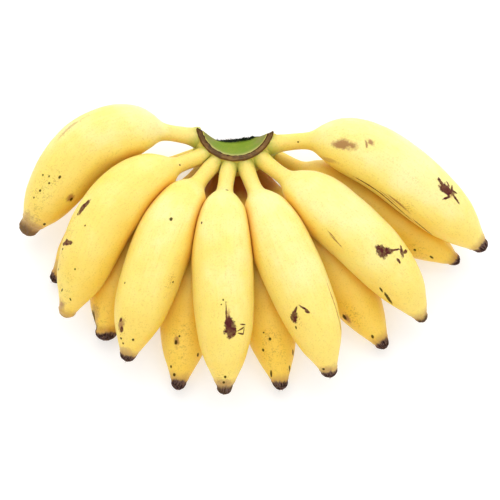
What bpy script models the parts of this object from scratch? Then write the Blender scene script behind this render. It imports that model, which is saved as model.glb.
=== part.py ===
"""A hand of thirteen short, plump bananas, cut from its stalk and lying arched on a table.

The hand rests on the underside of its crown and on the bellies of its lower row of fingers.
Lengths are in millimetres until a mesh is made: x runs to the right, y away from the tips, z up.
Plan positions are counted from the axis of the stalk that the crown was cut from, and
PLAN_SHIFT then brings the middle of the hand's footprint to the origin.
"""

import math
from dataclasses import dataclass

import bmesh
import bpy
import numpy as np
from mathutils import Vector, geometry

MM = 0.001
PLAN_SHIFT = Vector((-10.8, 85.6, 0.0))

# The crown: a wedge of stalk with an arched outer wall and a scooped, cut inner face.
CROWN_CENTRE = Vector((-0.5, -5.5, 0.0))
CROWN_RADIUS = 26.0
CROWN_RIM_HEIGHT = 39.0
CROWN_ARC_DEG = (190.0, 346.0)
CROWN_SECTIONS = 27
STALK_GAP = 0.35

# The crown's outer wall, as reach past the radius and height over its foot, from the foot up,
# and its rim, a double lip, as reach past the radius and height over the rim.
WALL_FOOT = ((-5.0, 0.0), (-1.5, 2.5), (0.0, 6.5))
RIM = ((0.0, -3.0), (-0.8, -0.7), (-2.0, 0.0), (-3.0, -0.9), (-4.0, -0.6))

# The cut face falls from the rim to a low, nearly straight back edge, which is narrower than
# the rim by BACK_SPREAD. The middle third of the arc stands flat on the table, and the horns at
# both ends are lifted off it, their heels less than their walls.
CUT_START = (-5.5, -3.0)
CUT_BACK = -0.8
CUT_BACK_SLANT = 0.095
CUT_BACK_HEIGHT = 11.0
CUT_HOLLOW = 3.0
CUT_STEPS = 4
BACK_SPREAD = 0.46
BACK_LEAN = (0.4, 1.6)
HORN_LIFT = 17.0
HORN_CURVE = 2.5
HEEL_LIFT_SHARE = 0.3
FLAT_SHARE = 0.35

# How high centre lines run: at the crown, the shoulder, the belly, the taper and the tip.
HEIGHT_SHARES = (0.0, 0.3, 0.55, 0.8, 1.0)
LOWER_HEIGHTS = (11.0, 18.5, 17.6, 13.0, 8.0)
LOWER_GIRTH = 0.94

# A finger's radius along its length, from its root on the crown to its dried flower end.
GIRTH_PROFILE = (
    (0.000, 5.5),
    (0.050, 5.1),
    (0.130, 5.1),
    (0.165, 6.4),
    (0.207, 10.6),
    (0.262, 15.0),
    (0.340, 17.7),
    (0.450, 18.5),
    (0.600, 18.4),
    (0.720, 17.1),
    (0.800, 14.9),
    (0.860, 12.0),
    (0.905, 9.0),
    (0.940, 6.9),
    (0.965, 5.8),
    (0.985, 5.4),
    (1.000, 4.2),
)
STATIONS = (
    0.000, 0.055, 0.105, 0.135, 0.160, 0.185, 0.215, 0.255, 0.310, 0.380, 0.460,
    0.540, 0.620, 0.700, 0.765, 0.820, 0.865, 0.900, 0.930, 0.958, 0.980, 1.000,
)
SIDES = 20
RIDGES = 5
RIDGE_HEIGHT = 0.035
RIDGE_MEAN = 0.36
RIDGE_SHARES = (0.14, 0.98)
FLOWER_END_BULGE = 0.9

SPINE_STEPS = 90
HALF_GAP = 0.22
PRESS_STEPS = 14
SHARP_DEG = 40.0

# Colours with their roughness.
UPPER_PEEL = (0.87, 0.66, 0.13, 1.0), 0.42
LOWER_PEEL = (0.80, 0.53, 0.09, 1.0), 0.45
CUT_CROWN = (0.33, 0.43, 0.13, 1.0), 0.7


@dataclass(frozen=True)
class Finger:
    """One banana: where it leaves the crown, which way it sets off, and where its tip lies."""

    name: str
    root_deg: float
    heading_deg: float
    tip: tuple
    tip_heading_deg: float
    heights: tuple
    first_handle: float = 40.0
    last_handle: float = 40.0
    girth: float = 1.0
    roll_deg: float = 0.0


def upper(number, *where, **more):
    """A finger of the upper row, which arches over the lower one."""
    return Finger(f"finger_upper_{number}", *where, **more)


def lower(number, *where, girth=LOWER_GIRTH, **more):
    """A finger of the lower row, which lies on the table."""
    if len(where) == 4:
        where = (*where, LOWER_HEIGHTS)
    return Finger(f"finger_lower_{number}", *where, girth=girth, **more)


FINGERS = (
    upper(1, 194, 176, (-134, -70), 223, (30.5, 44.0, 41.0, 29.0, 14.0),
          first_handle=80, last_handle=49, girth=1.02, roll_deg=18),
    upper(2, 224, 208, (-106, -125), 240, (30.5, 46.0, 46.5, 36.0, 19.0),
          first_handle=82, last_handle=53),
    upper(3, 241, 236, (-67, -153), 252, (30.5, 46.5, 46.5, 36.0, 20.0),
          first_handle=50, last_handle=51, roll_deg=36),
    upper(4, 261, 261, (-7, -173.5), 267, (30.5, 50.0, 48.5, 36.5, 20.0),
          first_handle=48, last_handle=46, roll_deg=36),
    upper(5, 284, 285, (58, -163), 286, (30.5, 46.0, 46.5, 36.0, 20.0),
          first_handle=40, last_handle=45, roll_deg=18),
    upper(6, 308, 311, (116, -128), 300, (30.5, 45.0, 46.0, 35.0, 18.0),
          first_handle=32, last_handle=38, roll_deg=36),
    upper(7, 335, 3, (156, -82), 328, (30.5, 45.0, 45.0, 36.0, 19.0),
          first_handle=65, last_handle=62, girth=1.04, roll_deg=-18),
    lower(1, 205, 195, (-116, -100), 229, (11.0, 15.5, 15.0, 11.5, 7.0),
          first_handle=46, last_handle=34, girth=0.8),
    lower(2, 225, 231, (-81, -138), 272, first_handle=36, last_handle=48),
    lower(3, 245, 250, (-36, -169), 262),
    lower(4, 274, 275, (28, -169), 277),
    lower(5, 299, 302, (93, -143), 301),
    lower(6, 334, 329, (141, -88), 330, first_handle=38, last_handle=34, girth=0.9),
)


def flat_direction(heading_deg):
    """The unit vector at a heading in plan."""
    heading = math.radians(heading_deg)
    return Vector((math.cos(heading), math.sin(heading), 0.0))


def curve_through(points, x):
    """A smooth curve through (x, y) points, with each point's slope taken from its neighbours."""
    last = len(points) - 1
    i = next((k for k in range(last) if x <= points[k + 1][0]), last - 1)

    def slope(k):
        before, after = points[max(k - 1, 0)], points[min(k + 1, last)]
        return (after[1] - before[1]) / (after[0] - before[0])

    (x0, y0), (x1, y1) = points[i], points[i + 1]
    width = x1 - x0
    t = (x - x0) / width
    return (
        y0 * (1 + 2 * t) * (1 - t) ** 2
        + y1 * t * t * (3 - 2 * t)
        + width * (slope(i) * t * (1 - t) ** 2 - slope(i + 1) * t * t * (1 - t))
    )


def shares_of_length(points):
    """How far along a line each of its points lies, from 0 to 1."""
    steps = [(b - a).length for a, b in zip(points, points[1:])]
    travelled = np.concatenate([[0.0], np.cumsum(steps)])
    return travelled / travelled[-1]


class Spine:
    """A finger's centre line, read by the share of its length, with the radius there."""

    def __init__(self, finger):
        self.finger = finger
        outward = flat_direction(finger.root_deg)
        root = CROWN_CENTRE + outward * (CROWN_RADIUS + STALK_GAP)
        tip = Vector((*finger.tip, 0.0))
        plan = geometry.interpolate_bezier(
            root,
            root + flat_direction(finger.heading_deg) * finger.first_handle,
            tip - flat_direction(finger.tip_heading_deg) * finger.last_handle,
            tip,
            SPINE_STEPS + 1,
        )
        along = shares_of_length(plan)
        knots = tuple(zip(HEIGHT_SHARES, finger.heights))
        self.points = [
            Vector((p.x, p.y, curve_through(knots, share))) for p, share in zip(plan, along)
        ]
        self.length = sum((b - a).length for a, b in zip(self.points, self.points[1:]))
        self.shares = shares_of_length(self.points)

    def at(self, share):
        """The point at that share of the length, and the direction of travel there."""
        i = int(np.searchsorted(self.shares, share, side="right")) - 1
        i = min(max(i, 0), SPINE_STEPS - 1)
        t = (share - self.shares[i]) / (self.shares[i + 1] - self.shares[i])
        before = self.points[max(i - 1, 0)]
        after = self.points[min(i + 2, SPINE_STEPS)]
        here = self.points[i].lerp(self.points[i + 1], t)
        return here, (after - before).normalized()

    def radius(self, share):
        return self.finger.girth * curve_through(GIRTH_PROFILE, share)

    def spheres(self):
        """Centres and radii of spheres that just touch the peel from inside, for the contact rule."""
        centres = np.array([tuple(p) for p in self.points])
        radii = np.array([self.radius(s) for s in self.shares])
        slopes = np.gradient(radii, self.shares * self.length)
        return centres, radii / np.sqrt(1 + slopes**2)


def nearness(points, spheres):
    """How many radii away each point is from the nearest sphere of a finger."""
    centres, radii = spheres
    apart = np.linalg.norm(points[:, None, :] - centres[None, :, :], axis=2)
    return (apart / radii).min(axis=1)


def pressed(shape, reaches, own, others):
    """Shortens each reach to where a neighbour presses back, midway between the two fingers."""

    def free(tried):
        probes = shape(tried + HALF_GAP)
        mine = nearness(probes, own)
        return mine <= np.min([nearness(probes, other) for other in others], axis=0)

    untouched = free(reaches)
    low, high = np.zeros_like(reaches), reaches.copy()
    for _ in range(PRESS_STEPS):
        middle = (low + high) / 2
        good = free(middle)
        low = np.where(good, middle, low)
        high = np.where(good, high, middle)
    return np.where(untouched, reaches, low)


def ridge_factor(share, angle, roll):
    """The soft lengthwise ridges, which fade out on the stalk and on the flower end."""
    first, last = RIDGE_SHARES
    fade = math.sin(math.pi * min(max((share - first) / (last - first), 0.0), 1.0)) ** 0.5
    crest = 1 - abs(math.sin(RIDGES * (angle - roll) / 2))
    return 1 + RIDGE_HEIGHT * fade * (crest - RIDGE_MEAN)


def onto_crown_wall(points, direction):
    """Slides points along a direction in plan until they meet the crown's outer wall."""
    reach = CROWN_RADIUS + STALK_GAP
    plan, way = points[:, :2] - CROWN_CENTRE.xy, np.array(direction.xy.normalized())
    before = plan @ way
    travel = np.sqrt(np.maximum(before**2 - (plan**2).sum(axis=1) + reach**2, 0.0)) - before
    slid = points.copy()
    slid[:, :2] += travel[:, None] * way
    return slid


def finger_rings(spine, others):
    """The rings of points round a finger, pressed flat where its neighbours touch it."""
    roll = math.radians(spine.finger.roll_deg)
    angles = [2 * math.pi * k / SIDES for k in range(SIDES)]
    leaving = spine.at(0.0)[1]
    centres, directions, reaches = [], [], []
    for share in STATIONS:
        centre, travel = spine.at(share)
        side = travel.cross(Vector((0, 0, 1))).normalized()
        top = side.cross(travel)
        for angle in angles:
            centres.append(tuple(centre))
            directions.append(tuple(top * math.cos(angle) + side * math.sin(angle)))
            reaches.append(spine.radius(share) * ridge_factor(share, angle, roll))
    centres, directions = np.array(centres), np.array(directions)

    def shape(tried):
        points = centres + directions * tried[:, None]
        points[:SIDES] = onto_crown_wall(points[:SIDES], leaving)
        return points

    points = shape(pressed(shape, np.array(reaches), spine.spheres(), others))
    return points.reshape(len(STATIONS), SIDES, 3)


def finger_mesh(spine, others):
    """A closed finger: its root face lies along the crown's wall, its tip ends in a blunt cap."""
    rings = finger_rings(spine, others)
    root, leaving = spine.at(0.0)
    tip, arriving = spine.at(1.0)
    mesh = bmesh.new()
    loops = [[mesh.verts.new(p) for p in ring] for ring in rings]
    root_centre = mesh.verts.new(onto_crown_wall(np.array([root]), leaving)[0])
    tip_centre = mesh.verts.new(tip + arriving * FLOWER_END_BULGE)
    for near, far in zip(loops, loops[1:]):
        for k in range(SIDES):
            after = (k + 1) % SIDES
            mesh.faces.new((near[k], near[after], far[after], far[k]))
    for k in range(SIDES):
        after = (k + 1) % SIDES
        mesh.faces.new((root_centre, loops[0][after], loops[0][k]))
        mesh.faces.new((tip_centre, loops[-1][k], loops[-1][after]))
    cut_at_table(mesh)
    return mesh


def cut_at_table(mesh):
    """Takes off what would sink into the table, which leaves the small flat it rests on."""
    if min(v.co.z for v in mesh.verts) >= 0:
        return
    whole = mesh.verts[:] + mesh.edges[:] + mesh.faces[:]
    cut = bmesh.ops.bisect_plane(
        mesh, geom=whole, plane_co=(0, 0, 0), plane_no=(0, 0, -1), clear_outer=True
    )
    border = [e for e in cut["geom_cut"] if isinstance(e, bmesh.types.BMEdge)]
    bmesh.ops.contextual_create(mesh, geom=border)


def crown_section(angle_deg):
    """The crown's outline through one place on its rim, from the wall's foot round to the heel."""
    first, last = CROWN_ARC_DEG
    to_horn = abs(2 * (angle_deg - first) / (last - first) - 1)
    foot = HORN_LIFT * (max(to_horn - FLAT_SHARE, 0.0) / (1 - FLAT_SHARE)) ** HORN_CURVE
    outward = flat_direction(angle_deg)
    across = BACK_SPREAD * CROWN_RADIUS * outward.x
    back = CROWN_CENTRE + Vector((across, CUT_BACK + CUT_BACK_SLANT * across, 0))

    def at(origin, reach, height):
        return origin + outward * reach + Vector((0, 0, height))

    rim_origin = CROWN_CENTRE + outward * CROWN_RADIUS
    start = at(rim_origin, CUT_START[0], CROWN_RIM_HEIGHT + CUT_START[1])
    end = at(back, 0.0, CUT_BACK_HEIGHT)
    hollow = CUT_HOLLOW * (start - end).xy.length / CROWN_RADIUS
    face = []
    for step in range(CUT_STEPS + 1):
        t = step / CUT_STEPS
        face.append(start.lerp(end, t) - Vector((0, 0, hollow * math.sin(math.pi * t))))
    wall = [at(rim_origin, reach, foot + height) for reach, height in WALL_FOOT]
    rim = [at(rim_origin, reach, CROWN_RIM_HEIGHT + height) for reach, height in RIM]
    heel_foot = HEEL_LIFT_SHARE * foot
    heel = [
        at(back, BACK_LEAN[0], (CUT_BACK_HEIGHT + heel_foot) / 2),
        at(back, BACK_LEAN[1], heel_foot),
    ]
    return wall + rim + face + heel


def crown_mesh():
    """The crown as a loft of its sections round the stalk's axis, closed at both horns."""
    first, last = CROWN_ARC_DEG
    mesh = bmesh.new()
    loops = []
    for i in range(CROWN_SECTIONS):
        angle_deg = first + (last - first) * i / (CROWN_SECTIONS - 1)
        loops.append([mesh.verts.new(point) for point in crown_section(angle_deg)])
    count = len(loops[0])
    for near, far in zip(loops, loops[1:]):
        for k in range(count):
            after = (k + 1) % count
            mesh.faces.new((near[k], far[k], far[after], near[after]))
    for loop in (loops[0], loops[-1]):
        mesh.faces.new(loop)
    bmesh.ops.recalc_face_normals(mesh, faces=mesh.faces[:])
    return mesh


def material(name, colour, roughness):
    """A plain opaque material of one colour."""
    made = bpy.data.materials.new(name)
    made.use_nodes = True
    shader = made.node_tree.nodes["Principled BSDF"]
    shader.inputs["Base Color"].default_value = colour
    shader.inputs["Roughness"].default_value = roughness
    shader.inputs["Metallic"].default_value = 0.0
    return made


def place(name, mesh, origin, parent, finish):
    """Makes an object in metres from a mesh in millimetres, with its origin where it is joined on."""
    bmesh.ops.translate(mesh, verts=mesh.verts[:], vec=-origin)
    bmesh.ops.scale(mesh, verts=mesh.verts[:], vec=(MM, MM, MM))
    data = bpy.data.meshes.new(name)
    mesh.to_mesh(data)
    mesh.free()
    data.shade_smooth()
    data.set_sharp_from_angle(angle=math.radians(SHARP_DEG))
    data.materials.append(material(f"{name}_finish", *finish))
    made = bpy.data.objects.new(name, data)
    made.parent = parent
    made.location = origin * MM
    bpy.context.scene.collection.objects.link(made)


def build():
    """The crown, and the fingers on it, under one empty that sets the footprint over the origin."""
    for old in list(bpy.data.objects):
        bpy.data.objects.remove(old)
    hand = bpy.data.objects.new("hand", None)
    hand.location = PLAN_SHIFT * MM
    bpy.context.scene.collection.objects.link(hand)
    place("crown", crown_mesh(), CROWN_CENTRE, hand, CUT_CROWN)
    spines = [Spine(finger) for finger in FINGERS]
    spheres = [spine.spheres() for spine in spines]
    for i, spine in enumerate(spines):
        finish = UPPER_PEEL if "upper" in spine.finger.name else LOWER_PEEL
        fruit = finger_mesh(spine, spheres[:i] + spheres[i + 1:])
        place(spine.finger.name, fruit, spine.points[0], hand, finish)


build()
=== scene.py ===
"""A hand of thirteen short, plump, ripe bananas on a pale table, seen from above its fan of tips.

Each finger is swept along its own centre line, pressed flat where it grew against a neighbour,
and dressed with a peel that follows its length: green at the crown, yellow over the body,
ochre at the neck and dry and dark at the flower end. Shape sizes are in millimetres until a
mesh is made. Plan positions are counted from the axis of the stalk that the hand was cut from.
"""

from __future__ import annotations

import logging
import math
from dataclasses import dataclass, field
from enum import Enum

import bpy
import numpy as np
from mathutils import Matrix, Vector, geometry

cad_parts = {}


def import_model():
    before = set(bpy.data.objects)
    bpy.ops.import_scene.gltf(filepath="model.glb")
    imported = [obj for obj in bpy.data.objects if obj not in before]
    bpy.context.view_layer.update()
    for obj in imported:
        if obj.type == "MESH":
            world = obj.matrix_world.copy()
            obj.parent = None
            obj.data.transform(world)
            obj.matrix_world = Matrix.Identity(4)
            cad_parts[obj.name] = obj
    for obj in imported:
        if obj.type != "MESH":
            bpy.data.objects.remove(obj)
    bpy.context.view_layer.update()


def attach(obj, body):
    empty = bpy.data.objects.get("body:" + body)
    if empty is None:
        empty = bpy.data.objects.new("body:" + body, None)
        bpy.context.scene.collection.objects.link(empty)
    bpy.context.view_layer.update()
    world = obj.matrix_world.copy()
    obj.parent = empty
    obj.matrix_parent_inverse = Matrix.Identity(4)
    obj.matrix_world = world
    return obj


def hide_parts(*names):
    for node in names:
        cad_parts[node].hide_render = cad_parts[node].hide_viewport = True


LOG = logging.getLogger("bananas")
MM = 0.001
BODY = "root"
PLAN_SHIFT = Vector((-10.8, 85.6, 0.0))

# The crown's main sizes, as the solids have them.
CROWN_CENTRE = Vector((-0.5, -5.5, 0.0))
CROWN_RADIUS = 26.0
CROWN_RIM_HEIGHT = 39.0
CROWN_ARC_DEG = (187.5, 347.5)
STALK_GAP = 0.35

# How high centre lines run: at the crown, the shoulder, the belly, the taper and the tip.
HEIGHT_SHARES = (0.0, 0.3, 0.55, 0.8, 1.0)
LOWER_HEIGHTS = (11.0, 18.5, 17.6, 13.0, 8.0)
LOWER_GIRTH = 0.94

# A finger's radius along its length, from its root on the crown to its dried flower end.
GIRTH_PROFILE = (
    (0.000, 5.5),
    (0.050, 5.1),
    (0.130, 5.1),
    (0.165, 6.4),
    (0.207, 10.6),
    (0.262, 15.0),
    (0.340, 17.7),
    (0.450, 18.5),
    (0.600, 18.4),
    (0.720, 17.1),
    (0.800, 14.9),
    (0.860, 12.0),
    (0.905, 9.0),
    (0.940, 6.7),
    (0.965, 5.5),
    (0.980, 5.2),
    (1.000, 5.0),
)
DOME_SHARES = (0.968, 1.0015)
DOME_POWER = 2.1
SPINE_STEPS = 90
RIDGES = 5
RIDGE_HEIGHT = 0.035
RIDGE_MEAN = 0.36
RIDGE_ROUNDING = 0.012
RIDGE_SHARES = (0.14, 0.98)
LUMP_SPACING = 22.0
CAP_SPACING = 2.6

# Nothing dressed comes nearer to the table than this.
TABLE_CLEARANCE = 0.02

# Painted shade: the peel is painted palest on the side that faces this way, up and back to the crown and
# the key light, and riper on the side turned away.
LIT_WAY = (0.0, 0.50, 0.866)

# The specular level of peel and crown, apart from the peel's coat.
BARE_SHINE = 0.04

Colour = tuple[float, float, float]


def flat_direction(heading_deg: float) -> Vector:
    """The unit vector at a heading in plan."""
    heading = math.radians(heading_deg)
    return Vector((math.cos(heading), math.sin(heading), 0.0))


def curve_through(points: tuple[tuple[float, float], ...], x: np.ndarray) -> np.ndarray:
    """A smooth curve through (x, y) points, with each point's slope taken from its neighbours.

    Args:
        points: the points, in order of x.
        x: where to read the curve.

    Returns:
        The curve's value at each x.
    """
    xs, ys = np.array(points).T
    last = len(xs) - 1
    numbers = np.arange(last + 1)
    before, after = np.maximum(numbers - 1, 0), np.minimum(numbers + 1, last)
    slopes = (ys[after] - ys[before]) / (xs[after] - xs[before])
    i = np.clip(np.searchsorted(xs, x, side="left") - 1, 0, last - 1)
    width = xs[i + 1] - xs[i]
    t = (x - xs[i]) / width
    return (
        ys[i] * (1 + 2 * t) * (1 - t) ** 2
        + ys[i + 1] * t * t * (3 - 2 * t)
        + width * (slopes[i] * t * (1 - t) ** 2 - slopes[i + 1] * t * t * (1 - t))
    )


def smooth_ramp(low: float, high: float, x: np.ndarray) -> np.ndarray:
    """An even rise from 0 at low to 1 at high, soft at both ends."""
    t = np.clip((x - low) / (high - low), 0.0, 1.0)
    return t * t * (3 - 2 * t)


def wave_noise(points: np.ndarray, wavelength: float, seed: int, waves: int = 14) -> np.ndarray:
    """Soft random lumps: a sum of plane waves in random directions.

    Args:
        points: where to read it, in millimetres, one row each.
        wavelength: the mean distance between lumps, in millimetres.
        seed: fixes the directions and phases.
        waves: how many plane waves are summed.

    Returns:
        A value for each point, mostly between -1 and 1.
    """
    random = np.random.default_rng(seed)
    ways = random.normal(size=(waves, 3))
    ways /= np.linalg.norm(ways, axis=1)[:, None]
    pace = 2 * math.pi / wavelength * random.uniform(0.6, 1.5, waves)
    phase = random.uniform(0, 2 * math.pi, waves)
    return np.sin(points @ (ways * pace[:, None]).T + phase).sum(axis=1) / math.sqrt(waves)


class MarkKind(Enum):
    """The sorts of blemish on the peel."""

    SPOT = "spot"
    STAIN = "stain"
    BRUISE = "bruise"
    SCUFF = "scuff"
    FRECKLES = "freckles"


@dataclass(frozen=True)
class Mark:
    """One blemish on a finger.

    Attributes:
        kind: what sort of blemish it is.
        along: its place, as a share of the finger's length.
        around_deg: its place round the finger, from the top, positive to the right of travel.
        length: its half length, in millimetres.
        width: its half width, in millimetres.
        turn_deg: how far its length is turned from the finger's own direction.
    """

    kind: MarkKind
    along: float
    around_deg: float
    length: float
    width: float
    turn_deg: float = 0.0


def spot(*where: float) -> Mark:
    """A small black speck or streak."""
    return Mark(MarkKind.SPOT, *where)


def stain(*where: float) -> Mark:
    """A dark purplish patch with ragged edges."""
    return Mark(MarkKind.STAIN, *where)


def bruise(*where: float) -> Mark:
    """A soft brown bruise under the skin."""
    return Mark(MarkKind.BRUISE, *where)


def scuff(*where: float) -> Mark:
    """A dry grey rub."""
    return Mark(MarkKind.SCUFF, *where)


def freckles(*where: float) -> Mark:
    """A patch of fine brown freckles."""
    return Mark(MarkKind.FRECKLES, *where)


@dataclass(frozen=True)
class Finger:
    """One banana: where it leaves the crown, which way it sets off, and where its tip lies.

    Attributes:
        name: the CAD node it stands for.
        root_deg: the angle of its root on the crown.
        heading_deg: the plan heading in which it leaves.
        tip: the plan position of its tip.
        tip_heading_deg: the plan heading at its tip.
        heights: its centre line's heights at HEIGHT_SHARES.
        first_handle: how far it keeps to its first heading.
        last_handle: how far it keeps to its last heading.
        girth: its thickness against the girth profile.
        roll_deg: the angle of its first ridge.
        ripeness: its shoulder's colour, from 0, pale lemon, to 1, deep orange yellow.
        blush: painted light, how much riper it is from the middle on than at its shoulder, which paints a
            lit shoulder paler, or with a negative value darker.
        heart: how dark red-brown its stalk is painted deep in the hand: painted shade in the gaps between
            the stalks, over some real browning.
        cap: the width of its dried end against the profile.
        cap_from: where its dried end begins, as a share of its length.
        cap_share: how fully that end has dried.
        marks: its blemishes.
    """

    name: str
    root_deg: float
    heading_deg: float
    tip: tuple[float, float]
    tip_heading_deg: float
    heights: tuple[float, ...]
    first_handle: float = 40.0
    last_handle: float = 40.0
    girth: float = 1.0
    roll_deg: float = 0.0
    ripeness: float = 0.2
    blush: float = 0.0
    heart: float = 0.0
    cap: float = 1.0
    cap_from: float = 0.957
    cap_share: float = 1.0
    marks: tuple[Mark, ...] = ()


def upper(number: int, *where: object, **more: object) -> Finger:
    """A finger of the upper row, which arches over the lower one."""
    return Finger(f"finger_upper_{number}", *where, **more)


def lower(number: int, *where: object, girth: float = LOWER_GIRTH, **more: object) -> Finger:
    """A finger of the lower row, which lies on the table."""
    if len(where) == 4:
        where = (*where, LOWER_HEIGHTS)
    more = {"ripeness": 0.62, "heart": 0.85, **more}
    return Finger(f"finger_lower_{number}", *where, girth=girth, **more)


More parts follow.
